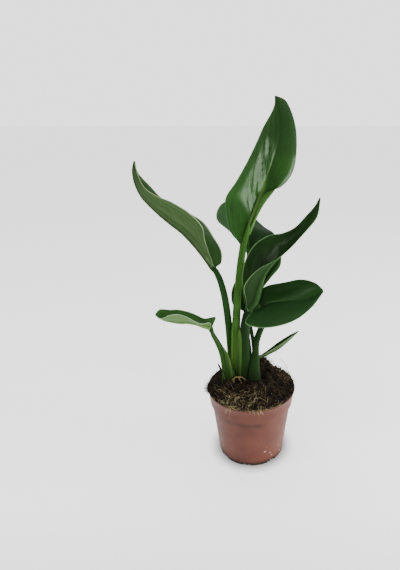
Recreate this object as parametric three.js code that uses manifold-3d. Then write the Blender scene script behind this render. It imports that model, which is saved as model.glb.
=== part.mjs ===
// A young bird of paradise in a 12 cm plastic nursery pot, in millimetres, +Z up.
// The origin is the centre of the pot's underside, on the surface that the pot stands on.
import * as THREE from "three";
import { mergeVertices } from "three/addons/utils/BufferGeometryUtils.js";
import Module from "manifold-3d";

const wasm = await Module();
wasm.setup();

// Pot: radii and heights of the thin moulded wall
const POT_HEIGHT = 100;
const RIM_RADIUS = 60;
const COLLAR_HEIGHT = 21.5;
const COLLAR_FOOT_RADIUS = 57;
const BODY_TOP_RADIUS = 54.6;
const BASE_RADIUS = 45.6;
const WALL = 1.4;
const LIP = 1.9;
const LIP_ROUNDING = 0.5;
const FLOOR_TOP = 4.4;
const FLOOR_UNDERSIDE = 2.6;
const PAD_RADIUS = 16;
const PAD_TAPER = 1.5;
const FOOT_RING_TOP_WIDTH = 4.5;
const FOOT_RING_WIDTH = 2.6;
const POT_SIDES = 48;
const BODY_TOP_HEIGHT = POT_HEIGHT - COLLAR_HEIGHT;
const BODY_SLOPE = (BODY_TOP_RADIUS - BASE_RADIUS) / BODY_TOP_HEIGHT;
const CAVITY_FOOT_RADIUS = BASE_RADIUS - WALL + BODY_SLOPE * FLOOR_TOP;
const RIM_INNER_RADIUS = RIM_RADIUS - LIP;

// Drain slots through the foot ring, each with a hole in the floor behind it
const DRAIN_COUNT = 8;
const DRAIN_WIDTH = 12;
const DRAIN_HEIGHT = 3.4;
const DRAIN_REACH = 12;
const DRAIN_HOLE_RADIUS = 4;
const DRAIN_HOLE_PLACE = 36;
const DRAIN_HOLE_SIDES = 10;
const FIRST_DRAIN_ANGLE = -Math.PI / 2 - 0.14;

// Soil: a heaped surface with one higher shoulder behind on the right
const GAP = 0.3;
const SOIL_EDGE_HEIGHT = 99.2;
const SOIL_HEAP = 8;
const SHOULDER = { x: 16, y: 44, height: 17, spread: 8.5 };
const CRUMB_RELIEF = 0.9;
const FINE_CRUMB_RELIEF = 0.54;
const SOIL_RINGS = 9;

// Leaves: every stalk starts this deep, and a blade is this thick at the rib and at the edge
const STALK_FOOT_HEIGHT = 88;
const BLADE_AT_RIB = 1.2;
const BLADE_AT_EDGE = 0.7;
const KEEL_DEPTH = 1.2;
const KEEL_TAPER = 0.8;
const SAG_ONSET = 0.7;
const WAVE_ONSET = 0.8;
const SHEATH_FALL = 3;
const STALK_FLATNESS = 0.8;
const RING_POINTS = 9;
const STALK_STEPS_PER_POINT = 2;
const TIP_STOP = 0.04;

const GREEN = { upright: "#3d6e2c", shaded: "#2b4f2a", young: "#4d7a33", pale: "#5d7f4b" };

// Each leaf has a stalk, then a rib with one point for each main vein, and where that vein ends
// on the left and on the right edge, as seen from the base of the upper face. Points are [x, y, z].
const LEAVES = [
  {
    name: "leaf_tall",
    colour: GREEN.upright,
    rows: 20,
    foot: [6.8, 4.2, 60],
    neck: [6.2, 4.6],
    sag: [1.6, 0],
    wave: [[0.8, 2.5, 0.1], [0.5, 2, 0.6]],
    stalk: [[-21.6, 8.5, 108], [-21.4, 9, 133], [-20.8, 10, 167], [-19.6, 12, 201], [-17.3, 15, 236],
      [-13.8, 18, 270], [-10.6, 20, 292]],
    rib: [[-10, 20, 298], [-6, 22, 314], [0, 25, 330], [7, 28, 349], [13, 31, 366], [20, 34, 382],
      [27, 36, 401], [32, 37, 422], [34, 36, 445], [32, 33, 460], [28, 28, 471]],
    left: [[-13, 19, 298], [-25, 13, 313], [-30, 10, 333], [-31, 12, 356], [-18, 18, 376], [-5, 24, 398],
      [6, 29, 419], [15, 32, 438], [23, 33, 452], [27, 31, 462], [27, 28, 471]],
    right: [[-8, 19, 299], [-2, 19, 316], [5, 19, 334], [11, 20, 351], [20, 23, 362], [38, 31, 368],
      [52, 42, 384], [56, 46, 410], [53, 44, 439], [42, 37, 464], [29, 28, 471]],
    rightFold: [[-9, 19, 299], [-1, 20.5, 319], [8, 22, 336], [17, 24, 349.5], [27, 27, 363],
      [32, 29.5, 375], [41, 35, 392], [46, 38, 415], [46, 37, 441], [38, 33, 462], [28, 28, 471]],
  },
  {
    name: "leaf_long_left",
    colour: GREEN.pale,
    rows: 19,
    foot: [5.2, 4.2, 40],
    neck: [5.2, 4.6],
    sag: [2, 2.5],
    wave: [[1, 1.6, 0.2], [1, 1.6, 0.2]],
    stalk: [[-28.2, 18.5, 108], [-28.2, 18.5, 134], [-29.2, 17.5, 158], [-30.7, 13, 189], [-34, 6, 227],
      [-39, 2, 253], [-44, 0, 267]],
    rib: [[-46, 0, 272], [-55, -2, 287], [-67, -4, 304], [-81, -6, 320], [-98, -9, 335],
      [-112, -12, 349], [-124, -14, 363], [-130, -16, 377], [-132, -17, 391], [-130, -17, 403]],
    left: [[-47, -2, 276], [-52, -10, 296], [-55, -14, 312], [-57, -15, 329], [-71, -17, 345],
      [-90, -20, 357], [-106, -22, 364], [-119, -23, 374], [-126, -21, 389], [-129, -17, 403]],
    right: [[-44, 3, 272], [-38, 10, 276], [-38, 16, 290], [-46, 16, 307], [-59, 12, 328],
      [-85, 8, 344], [-106, 4, 357], [-118, -1, 373], [-128, -9, 389], [-129, -16, 403]],
  },
  {
    name: "leaf_arching_right",
    colour: GREEN.shaded,
    rows: 20,
    foot: [7.9, 4.2, 120],
    neck: [7.7, 4.6],
    sag: [3, 2],
    wave: [[1, 1.5, 0.2], [1.2, 2.2, 0.6]],
    stalk: [[-9.3, 2, 108], [-9.3, 2, 137], [-9, 2.5, 168], [-9, 3.5, 190], [-7, 4, 206]],
    rib: [[-4, 3, 213], [5, 0, 227], [9, -2, 245], [14, -4, 263], [23, -6, 279], [36, -7, 293],
      [48, -8, 306], [59, -8, 319], [69, -6, 333], [77, -3, 346], [82, 1, 359]],
    left: [[-7, 5, 214], [-10, 4, 237], [-11, 3, 263], [-7, 2, 284], [3, 0, 302], [20, -2, 314],
      [38, -3, 317], [53, -3, 324], [65, -1, 337], [75, 0, 349], [81, 1, 360]],
    right: [[-5, 0, 214], [-7, -8, 231], [-9, -15, 251], [-1, -22, 267], [11, -27, 281], [27, -28, 291],
      [42, -26, 302], [54, -21, 312], [67, -15, 325], [78, -8, 339], [82, 1, 359]],
  },
  {
    name: "leaf_broad_right",
    colour: GREEN.upright,
    rows: 17,
    foot: [8.8, 3.2, 46],
    neck: [4.7, 4.4],
    sag: [-1, -2.5],
    wave: [[1, 1.6, 0.2], [1, 1.6, 0.6]],
    stalk: [[4.9, -3.5, 108], [4.1, -3, 127], [5.6, 3.5, 145], [6.8, 7, 163], [10.8, 8, 177], [15, 8, 189],
      [16, 7, 203]],
    rib: [[14, 4, 214], [18, 1, 219], [24, -2, 225], [34, -5, 229], [48, -8, 232],
      [64, -10, 234], [79, -10, 238], [91, -8, 244]],
    left: [[12, 6, 216], [9, 11, 226], [12, 15, 236], [22, 17, 242], [43, 14, 247],
      [64, 9, 253], [81, 0, 252], [91, -8, 245]],
    right: [[12, 0, 215], [-2, -10, 213], [-7, -15, 202], [11, -18, 197], [35, -20, 201],
      [58, -20, 211], [77, -17, 227], [91, -8, 243]],
  },
  {
    name: "leaf_back_left",
    colour: GREEN.shaded,
    rows: 13,
    foot: [4.4, 4, 40],
    neck: [3.4, 3],
    sag: [2.5, 2.5],
    wave: [[1, 1.5, 0.2], [1, 1.5, 0.6]],
    stalk: [[-5, 26, 108], [-5, 23, 142], [-5, 20, 175], [-5, 18, 213], [-4, 19, 249], [-3, 23, 272]],
    rib: [[-3, 27, 282], [-3, 34, 295], [-6, 46, 309], [-9, 62, 322], [-13, 78, 334], [-15, 90, 345]],
    left: [[-6, 27, 283], [-26, 27, 310], [-44, 38, 325], [-43, 62, 336], [-31, 80, 342], [-16, 90, 345]],
    right: [[0, 27, 283], [16, 28, 295], [30, 38, 304], [16, 60, 311], [0, 79, 325], [-14, 90, 345]],
  },
  {
    name: "leaf_back_middle",
    colour: GREEN.shaded,
    rows: 12,
    foot: [4, 3.6, 40],
    neck: [3, 2.5],
    sag: [1.5, 1.5],
    wave: [[0.8, 1.5, 0.2], [0.8, 1.5, 0.6]],
    stalk: [[4.5, 34, 108], [4, 33, 137], [0.5, 31, 166], [-4, 29, 189]],
    rib: [[-8, 28, 200], [-4, 30, 216], [4, 32, 233], [16, 34, 250], [28, 35, 265], [39, 36, 278]],
    left: [[-11, 28, 200], [-25, 27, 210], [-26, 30, 231], [-14, 33, 252], [8, 35, 268], [38, 36, 279]],
    right: [[0, 27, 196], [12, 25, 200], [13, 26, 228], [25, 28, 247], [38, 31, 263], [40, 36, 278]],
  },
  {
    name: "leaf_small_left",
    colour: GREEN.young,
    rows: 15,
    foot: [8.6, 3, 64],
    neck: [3.6, 3.2],
    sag: [1.2, 1.2],
    wave: [[0.6, 1.5, 0.2], [0.8, 1.5, 0.6]],
    stalk: [[-28.5, 0, 108], [-32.8, 1, 126], [-38.4, 2, 148], [-45, 2, 165], [-51, 1, 178]],
    rib: [[-55, 1, 188], [-59, 0, 190], [-65, -1, 193], [-72, -2, 196], [-83, -3, 198],
      [-93, -4, 198], [-104, -5, 200], [-114, -6, 203], [-124, -6, 210]],
    left: [[-53, -2, 191], [-54, -5, 198], [-64, -9, 199], [-73, -11, 204], [-83, -13, 211],
      [-94, -14, 214], [-105, -13, 212], [-116, -11, 207], [-124, -7, 210]],
    right: [[-51, 2, 190], [-47, 7, 201], [-62, 9, 198], [-73, 10, 202], [-85, 10, 207],
      [-97, 9, 211], [-107, 7, 212], [-119, 3, 214], [-124, -5, 211]],
  },
  {
    name: "leaf_small_right",
    colour: GREEN.young,
    rows: 9,
    foot: [2.8, 2.4, 20],
    neck: [2, 1.6],
    sag: [0.5, 0.5],
    wave: [[0, 1.5, 0.2], [0, 1.5, 0.6]],
    stalk: [[10, 18, 108], [10, 19, 122]],
    rib: [[11, 20, 132], [23, 21, 137], [38, 22, 145], [52, 22, 158], [66, 22, 173]],
    left: [[10, 22, 132], [24, 26, 141], [38, 28, 152], [53, 26, 164], [66, 23, 173]],
    right: [[12, 17, 135], [24, 15, 144], [38, 15, 154], [52, 17, 164], [66, 21, 173]],
  },
];

// The dead stub of an old stalk, and the thin roots that arch out of the soil in front
const STUB_PATH = [[-38, 21, 94], [-40, 21, 104], [-46, 21, 121]];
const STUB_RADIUS = 1.3;
const STUB_SIDES = 7;
const STUB_STEPS = 5;
const ROOT_PATHS = [
  [[-28, -6, 99], [-27, -6, 109], [-23, -6, 115], [-17, -6, 117], [-11, -6, 115], [-7, -6, 109],
    [-5, -6, 99]],
  [[-23, -6, 115], [-24, -8, 111], [-23, -9, 105], [-23, -9, 99]],
  [[-17, -6, 117], [-15, -8, 112], [-12, -9, 106], [-11, -9, 99]],
];
const ROOT_RADIUS = 0.8;
const ROOT_SIDES = 6;
const ROOT_STEPS = 14;

const FRONT = new THREE.Vector3(0, -1, 0);

function vectors(points) {
  return points.map((point) => new THREE.Vector3(...point));
}

// Point of a smooth line through the points, at a place counted in points from its start.
function pointAt(points, place) {
  const index = Math.min(Math.max(Math.floor(place), 0), points.length - 2);
  const part = place - index;
  const start = points[index];
  const end = points[index + 1];
  const before = points[index - 1] ?? start.clone().multiplyScalar(2).sub(end);
  const after = points[index + 2] ?? end.clone().multiplyScalar(2).sub(start);
  const spline = new THREE.CatmullRomCurve3([before, start, end, after], false, "catmullrom", 0.5);
  return spline.getPoint((1 + part) / 3);
}

function tangentAt(points, place) {
  const step = 0.02;
  const last = points.length - 1;
  const ahead = pointAt(points, Math.min(place + step, last));
  const behind = pointAt(points, Math.max(place - step, 0));
  return ahead.sub(behind).normalize();
}

function geometryOf(vertices, triangles) {
  const geometry = new THREE.BufferGeometry();
  const numbers = vertices.flatMap((vertex) => [vertex.x, vertex.y, vertex.z]);
  geometry.setAttribute("position", new THREE.Float32BufferAttribute(numbers, 3));
  geometry.setIndex(triangles.flat());
  return geometry;
}

// Closes a row of rings, each with the same number of points, with a fan at both ends.
function skin(rings) {
  const size = rings[0].length;
  const vertices = rings.flat();
  const triangles = [];
  for (let row = 0; row < rings.length - 1; row += 1) {
    for (let k = 0; k < size; k += 1) {
      const next = (k + 1) % size;
      const a = row * size + k;
      const b = row * size + next;
      const c = a + size;
      const d = b + size;
      // The lower half of a ring is cut along the same diagonals as the upper half above it.
      if (k < size / 2) triangles.push([a, b, d], [a, d, c]);
      else triangles.push([a, b, c], [b, d, c]);
    }
  }
  const ends = [rings[0], rings[rings.length - 1]];
  ends.forEach((ring, end) => {
    const centre = new THREE.Vector3();
    ring.forEach((vertex) => centre.add(vertex));
    const middle = vertices.push(centre.divideScalar(size)) - 1;
    const offset = end === 0 ? 0 : (rings.length - 1) * size;
    for (let k = 0; k < size; k += 1) {
      const here = offset + k;
      const next = offset + ((k + 1) % size);
      triangles.push(end === 0 ? [middle, next, here] : [middle, here, next]);
    }
  });
  return geometryOf(vertices, triangles);
}

// One ring of a stalk: the points run over the upper side from left to right, then back below.
function stalkRing(centre, forward, face, widthRadius, depthRadius) {
  const across = new THREE.Vector3().crossVectors(forward, face).normalize();
  const outward = new THREE.Vector3().crossVectors(across, forward);
  const count = 2 * RING_POINTS;
  return Array.from({ length: count }, (_, k) => {
    const angle = Math.PI - ((k + 0.5) / count) * 2 * Math.PI;
    return centre.clone()
      .addScaledVector(across, widthRadius * Math.cos(angle))
      .addScaledVector(outward, depthRadius * Math.sin(angle));
  });
}

// The stalk is a little flat from front to back, and widens to a clasping sheath at the foot.
function stalkRings(leaf, extra = 0) {
  const visible = vectors(leaf.stalk);
  const buried = visible[0].clone().setZ(STALK_FOOT_HEIGHT - extra);
  const path = [buried, ...visible];
  const [footWidth, footDepth, sheath] = leaf.foot;
  const [low, high] = leaf.neck;
  const [rib, left, right] = [leaf.rib, leaf.left, leaf.right].map(vectors);
  const bladeFace = right[1].clone().sub(left[1]).cross(tangentAt(rib, 0.5)).normalize();
  const steps = (path.length - 1) * STALK_STEPS_PER_POINT;
  return Array.from({ length: steps + 1 }, (_, step) => {
    const place = step / STALK_STEPS_PER_POINT;
    const centre = pointAt(path, place);
    const share = step / steps;
    const height = Math.max(centre.z - visible[0].z, 0);
    const clasp = Math.exp(-SHEATH_FALL * (height / sheath) ** 2);
    const plain = low + (high - low) * share;
    const face = FRONT.clone().lerp(bladeFace, share * share);
    const forward = tangentAt(path, place);
    const widthRadius = plain + (footWidth - plain) * clasp + extra;
    const flat = STALK_FLATNESS * plain;
    const depthRadius = flat + (footDepth - flat) * clasp + extra;
    return stalkRing(centre, forward, face, widthRadius, depthRadius);
  });
}

// A half of the blade runs from the rib through its fold to the edge.
function acrossHalf(rib, fold, edge, share) {
  return new THREE.Vector3()
    .addScaledVector(rib, (1 - share) * (1 - 2 * share))
    .addScaledVector(fold, 4 * share * (1 - share))
    .addScaledVector(edge, share * (2 * share - 1));
}

function bladeRings(leaf) {
  const rib = vectors(leaf.rib);
  const edges = [vectors(leaf.left), vectors(leaf.right)];
  const folds = [leaf.leftFold, leaf.rightFold].map((points) => points && vectors(points));
  const columns = (RING_POINTS - 1) / 2;
  const reach = rib.length - 1 - TIP_STOP;
  const middle = [];
  for (let row = 0; row <= leaf.rows; row += 1) {
    const place = (reach * row) / leaf.rows;
    const share = place / (rib.length - 1);
    const spine = pointAt(rib, place);
    const ends = edges.map((edge) => pointAt(edge, place));
    const face = ends[1].clone().sub(ends[0]).cross(tangentAt(rib, place)).normalize();
    const ribRadius = leaf.neck[1] * (1 - share) ** KEEL_TAPER;
    const halves = ends.map((end, side) => {
      const sag = leaf.sag[side] * Math.sin(Math.PI * share) ** SAG_ONSET;
      const fold = folds[side]
        ? pointAt(folds[side], place)
        : spine.clone().add(end).multiplyScalar(0.5).addScaledVector(face, -sag);
      const first = THREE.MathUtils.clamp(ribRadius / spine.distanceTo(end), 0.05, 0.35);
      const [height, count, phase] = leaf.wave[side];
      const swing = Math.sin(2 * Math.PI * (count * share + phase));
      const lift = height * swing * Math.sin(Math.PI * share) ** WAVE_ONSET;
      return Array.from({ length: columns }, (_, column) => {
        const out = first + ((1 - first) * column) / (columns - 1);
        return acrossHalf(spine, fold, end, out).addScaledVector(face, lift * out * out);
      });
    });
    middle.push([...halves[0].reverse(), spine, ...halves[1]]);
  }
  return middle.map((points, row) => {
    const before = middle[Math.max(row - 1, 0)];
    const after = middle[Math.min(row + 1, leaf.rows)];
    const share = row / leaf.rows;
    const ribRadius = leaf.neck[1] * (1 - share) ** KEEL_TAPER;
    const upper = [];
    const lower = [];
    points.forEach((point, k) => {
      const along = after[k].clone().sub(before[k]);
      const across = points[Math.min(k + 1, RING_POINTS - 1)].clone().sub(points[Math.max(k - 1, 0)]);
      const normal = new THREE.Vector3().crossVectors(across, along).normalize();
      const out = Math.abs(k - columns) / columns;
      const half = (BLADE_AT_RIB + (BLADE_AT_EDGE - BLADE_AT_RIB) * out) / 2;
      const keel = k === columns ? KEEL_DEPTH * ribRadius : 0;
      upper.push(point.clone().addScaledVector(normal, half));
      lower.push(point.clone().addScaledVector(normal, -half - keel));
    });
    return [...upper, ...lower.reverse()];
  });
}

function leafGeometry(leaf) {
  return skin([...stalkRings(leaf), ...bladeRings(leaf)]);
}

// A round rod along a path, larger all round by the extra when it is the hole for that rod.
function rodGeometry(points, rodRadius, sides, steps, extra) {
  const path = vectors(points);
  const radius = rodRadius + extra;
  const rings = Array.from({ length: steps + 1 }, (_, step) => {
    const place = ((path.length - 1) * step) / steps;
    const forward = tangentAt(path, place);
    const overrun = { 0: -extra, [steps]: extra }[step] ?? 0;
    const across = new THREE.Vector3().crossVectors(forward, FRONT).normalize();
    const outward = new THREE.Vector3().crossVectors(across, forward);
    return Array.from({ length: sides }, (_, k) => {
      const angle = (-2 * Math.PI * k) / sides;
      return pointAt(path, place)
        .addScaledVector(forward, overrun)
        .addScaledVector(across, radius * Math.cos(angle))
        .addScaledVector(outward, radius * Math.sin(angle));
    });
  });
  return skin(rings);
}

function solidOf(geometry) {
  const plain = geometry.clone();
  plain.deleteAttribute("normal");
  plain.deleteAttribute("uv");
  const merged = mergeVertices(plain, 1e-4);
  return new wasm.Manifold(new wasm.Mesh({
    numProp: 3,
    vertProperties: merged.attributes.position.array,
    triVerts: new Uint32Array(merged.index.array),
  }));
}

function geometryOfSolid(solid) {
  const mesh = solid.getMesh();
  const geometry = new THREE.BufferGeometry();
  const positions = new Float32Array(mesh.numVert * 3);
  for (let vertex = 0; vertex < mesh.numVert; vertex += 1)
    for (let axis = 0; axis < 3; axis += 1)
      positions[3 * vertex + axis] = mesh.vertProperties[mesh.numProp * vertex + axis];
  geometry.setAttribute("position", new THREE.BufferAttribute(positions, 3));
  geometry.setIndex(new THREE.BufferAttribute(new Uint32Array(mesh.triVerts), 1));
  return geometry;
}

// Turns an outline of [radius, height] points round the +Z axis.
function turned(outline, sides) {
  const profile = outline.map(([radius, height]) => new THREE.Vector2(radius, height));
  return new THREE.LatheGeometry(profile, sides).rotateX(Math.PI / 2);
}

function potGeometry() {
  const outline = [
    [0, 0],
    [PAD_RADIUS, 0],
    [PAD_RADIUS + PAD_TAPER, FLOOR_UNDERSIDE],
    [BASE_RADIUS - FOOT_RING_TOP_WIDTH, FLOOR_UNDERSIDE],
    [BASE_RADIUS - FOOT_RING_WIDTH, 0],
    [BASE_RADIUS, 0],
    [BODY_TOP_RADIUS, BODY_TOP_HEIGHT - 2],
    [BODY_TOP_RADIUS + 0.6, BODY_TOP_HEIGHT - 0.5],
    [COLLAR_FOOT_RADIUS - 0.3, BODY_TOP_HEIGHT + 1],
    [COLLAR_FOOT_RADIUS, BODY_TOP_HEIGHT + 2.5],
    [RIM_RADIUS - LIP_ROUNDING, POT_HEIGHT - 4 * LIP_ROUNDING],
    [RIM_RADIUS, POT_HEIGHT - 2 * LIP_ROUNDING],
    [RIM_RADIUS - LIP_ROUNDING, POT_HEIGHT],
    [RIM_INNER_RADIUS, POT_HEIGHT],
    [COLLAR_FOOT_RADIUS - WALL, BODY_TOP_HEIGHT + 3],
    [BODY_TOP_RADIUS - WALL, BODY_TOP_HEIGHT - 1],
    [CAVITY_FOOT_RADIUS, FLOOR_TOP],
    [0, FLOOR_TOP],
  ];
  let pot = solidOf(turned(outline, POT_SIDES));
  for (let k = 0; k < DRAIN_COUNT; k += 1) {
    const angle = FIRST_DRAIN_ANGLE + (k * 2 * Math.PI) / DRAIN_COUNT;
    const slot = new THREE.BoxGeometry(DRAIN_REACH, DRAIN_WIDTH, 2 * DRAIN_HEIGHT)
      .translate(BASE_RADIUS, 0, 0)
      .rotateZ(angle);
    const hole = new THREE
      .CylinderGeometry(DRAIN_HOLE_RADIUS, DRAIN_HOLE_RADIUS, 3 * FLOOR_TOP, DRAIN_HOLE_SIDES)
      .rotateX(Math.PI / 2)
      .translate(DRAIN_HOLE_PLACE, 0, 0)
      .rotateZ(angle);
    pot = pot.subtract(solidOf(slot)).subtract(solidOf(hole));
  }
  return geometryOfSolid(pot);
}

function soilHeight(x, y) {
  const heap = SOIL_HEAP * (1 - (Math.hypot(x, y) / RIM_INNER_RADIUS) ** 3);
  const fromShoulder = (x - SHOULDER.x) ** 2 + (y - SHOULDER.y) ** 2;
  const shoulder = SHOULDER.height * Math.exp(-fromShoulder / (2 * SHOULDER.spread ** 2));
  const crumbs = CRUMB_RELIEF * Math.sin(x / 3.1 + 1) * Math.sin(y / 3.7);
  const fineCrumbs = FINE_CRUMB_RELIEF * Math.sin(x / 1.9 + y / 2.3);
  return SOIL_EDGE_HEIGHT + heap + shoulder + crumbs + fineCrumbs;
}

// Heaped soil that fills the pot, with a hole for everything that stands in it.
function soilGeometry(holes) {
  const outline = [
    [CAVITY_FOOT_RADIUS - GAP, FLOOR_TOP + GAP],
    [BODY_TOP_RADIUS - WALL - GAP, BODY_TOP_HEIGHT - 0.5],
    [COLLAR_FOOT_RADIUS - WALL - GAP, BODY_TOP_HEIGHT + 3.5],
  ];
  const ring = (radius, height) => Array.from({ length: POT_SIDES }, (_, k) => {
    const angle = (2 * Math.PI * k) / POT_SIDES;
    const x = radius * Math.cos(angle);
    const y = radius * Math.sin(angle);
    return new THREE.Vector3(x, y, height ?? soilHeight(x, y));
  });
  const rings = outline.map(([radius, height]) => ring(radius, height));
  const topRadius = RIM_INNER_RADIUS - 2 * GAP;
  for (let k = SOIL_RINGS; k > 0; k -= 1) rings.push(ring((topRadius * k) / SOIL_RINGS));
  let soil = solidOf(skin(rings));
  holes.forEach((hole) => {
    soil = soil.subtract(solidOf(hole));
  });
  return geometryOfSolid(soil);
}

function rootsGeometry(extra = 0) {
  const rods = ROOT_PATHS.map((path) => rodGeometry(path, ROOT_RADIUS, ROOT_SIDES, ROOT_STEPS, extra));
  const [first, ...branches] = rods.map(solidOf);
  return geometryOfSolid(branches.reduce((roots, branch) => roots.add(branch), first));
}

function stubGeometry(extra = 0) {
  return rodGeometry(STUB_PATH, STUB_RADIUS, STUB_SIDES, STUB_STEPS, extra);
}

const plant = new THREE.Group();

function add(name, geometry, color, roughness) {
  const material = new THREE.MeshStandardMaterial({ color, roughness, metalness: 0 });
  const mesh = new THREE.Mesh(geometry, material);
  mesh.name = name;
  plant.add(mesh);
}

const holes = [
  ...LEAVES.map((leaf) => skin(stalkRings(leaf, GAP))),
  stubGeometry(GAP),
  rootsGeometry(GAP),
];

add("pot", potGeometry(), "#a06a58", 0.55);
add("soil", soilGeometry(holes), "#33261d", 0.95);
LEAVES.forEach((leaf) => add(leaf.name, leafGeometry(leaf), leaf.colour, 0.35));
add("dead_stub", stubGeometry(), "#241c16", 0.9);
add("surface_roots", rootsGeometry(), "#9c7a4c", 0.85);

export default plant;
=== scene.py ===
"""A young bird of paradise in a round plastic pot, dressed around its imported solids.

Points and sizes are in millimetres, and turn into metres when a mesh is made.
"""

import logging
import math
import random
from dataclasses import dataclass
from enum import Enum

import bpy
import numpy as np
from mathutils import Euler, Matrix, Vector, noise


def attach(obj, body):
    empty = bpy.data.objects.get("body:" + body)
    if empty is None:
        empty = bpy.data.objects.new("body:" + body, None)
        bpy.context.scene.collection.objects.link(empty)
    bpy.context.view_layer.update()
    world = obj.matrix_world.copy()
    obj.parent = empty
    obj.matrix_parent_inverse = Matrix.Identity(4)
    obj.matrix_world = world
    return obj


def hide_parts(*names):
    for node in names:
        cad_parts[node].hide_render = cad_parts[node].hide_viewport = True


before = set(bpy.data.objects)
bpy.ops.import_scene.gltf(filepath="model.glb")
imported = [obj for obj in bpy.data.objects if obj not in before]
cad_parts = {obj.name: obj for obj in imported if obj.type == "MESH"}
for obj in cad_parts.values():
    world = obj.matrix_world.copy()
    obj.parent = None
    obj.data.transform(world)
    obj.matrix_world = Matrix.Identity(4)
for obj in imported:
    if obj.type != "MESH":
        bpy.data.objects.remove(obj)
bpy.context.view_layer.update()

LOG = logging.getLogger("potted_bird_of_paradise")
MM = 0.001
TURN = 2 * math.pi
FRONT = np.array([0.0, -1.0, 0.0])
LITTER_SEED = 11

Points = list[list[float]]
Colour = tuple[float, float, float, float]


class Grown(Enum):
    """How a leaf's green reads in the light."""

    UPRIGHT = "upright"
    BROAD = "broad"
    SHADED = "shaded"
    DUSTY = "grey_green"
    YOUNG = "young"
    PALE = "pale"
    SHEATH = "sheath"


class Bed(Enum):
    """Where on the soil small things lie."""

    ALL = "all"
    FRONT = "front"
    RIM = "rim"
    SPILL = "spill"
    SHOULDER = "shoulder"
    LEFT_RIM = "left_rim"


def tint(code: str) -> Colour:
    """Turns a colour such as "#3d6e2c" into linear light.

    Args:
        code: The colour as red, green and blue in hexadecimal.

    Returns:
        The four numbers of the colour, with full opacity.
    """
    parts = [int(code[k:k + 2], 16) / 255 for k in (1, 3, 5)]
    linear = [p / 12.92 if p <= 0.04045 else ((p + 0.055) / 1.055) ** 2.4 for p in parts]
    return (linear[0], linear[1], linear[2], 1.0)


def unit(rows: np.ndarray) -> np.ndarray:
    """Scales each row to a length of one."""
    return rows / np.maximum(np.linalg.norm(rows, axis=-1, keepdims=True), 1e-9)


def pad(points: np.ndarray) -> np.ndarray:
    """Adds a point before the first and after the last, on their straight continuation."""
    return np.vstack([2 * points[0] - points[1], points, 2 * points[-1] - points[-2]])


def spline(points: np.ndarray, places: np.ndarray) -> np.ndarray:
    """Finds points of the smooth line through the given points.

    Args:
        points: The points that the line passes, one a row.
        places: Where to read the line, counted in points from its start.

    Returns:
        One row for each place.
    """
    last = len(points) - 1
    places = np.clip(places, 0, last)
    index = np.minimum(places.astype(int), last - 1)
    part = (places - index)[:, None]
    before, start, end, after = (pad(points)[index + k] for k in range(4))
    bend = 2 * before - 5 * start + 4 * end - after
    twist = 3 * (start - end) + after - before
    return start + 0.5 * part * (end - before + part * (bend + part * twist))


def tangents(points: np.ndarray, places: np.ndarray) -> np.ndarray:
    """Finds the directions of the smooth line at the given places."""
    step = 0.02
    return unit(spline(points, places + step) - spline(points, places - step))


def back(values: np.ndarray) -> np.ndarray:
    """Turns each row end for end."""
    return values[:, ::-1]


def faces(upper: np.ndarray, under: np.ndarray) -> np.ndarray:
    """Lays the upper side of each row and its under side round in one ring."""
    return np.concatenate([upper, back(under)], axis=1)


def deselect() -> None:
    """Leaves object mode with nothing selected."""
    if bpy.context.object and bpy.context.object.mode != "OBJECT":
        bpy.ops.object.mode_set(mode="OBJECT")
    bpy.ops.object.select_all(action="DESELECT")


def pick(*objects: bpy.types.Object) -> None:
    """Selects these objects alone.

    Args:
        objects: What to select, with the one that becomes active first.
    """
    deselect()
    for thing in objects:
        thing.select_set(True)
    bpy.context.view_layer.objects.active = objects[0]


def name_piece(piece: bpy.types.Object, name: str) -> bpy.types.Object:
    """Names an object and its mesh alike.

    Args:
        piece: The object.
        name: Its new name.

    Returns:
        The same object.
    """
    piece.name = name
    piece.data.name = name
    return piece


def weld(threshold: float) -> None:
    """Merges the active piece's doubles and turns its faces outwards.

    Args:
        threshold: The widest gap that closes, in metres.
    """
    bpy.ops.object.mode_set(mode="EDIT")
    bpy.ops.mesh.select_all(action="SELECT")
    bpy.ops.mesh.remove_doubles(threshold=threshold)
    bpy.ops.mesh.normals_make_consistent(inside=False)
    bpy.ops.object.mode_set(mode="OBJECT")


def settle(
    piece: bpy.types.Object, finish: bpy.types.Material, slot: str, *nodes: str
) -> bpy.types.Object:
    """Gives a piece its finish and fixes it to the plant's one body.

    Args:
        piece: The finished piece.
        finish: The material that covers it.
        slot: The record's material slot, which is not used.
        nodes: The solids that the piece stands for.

    Returns:
        The same piece.
    """
    piece.data.materials.clear()
    piece.data.materials.append(finish)
    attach(piece, "root")
    if nodes:
        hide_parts(*nodes)
    LOG.info("%s: %d faces", piece.name, len(piece.data.polygons))
    return piece


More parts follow.
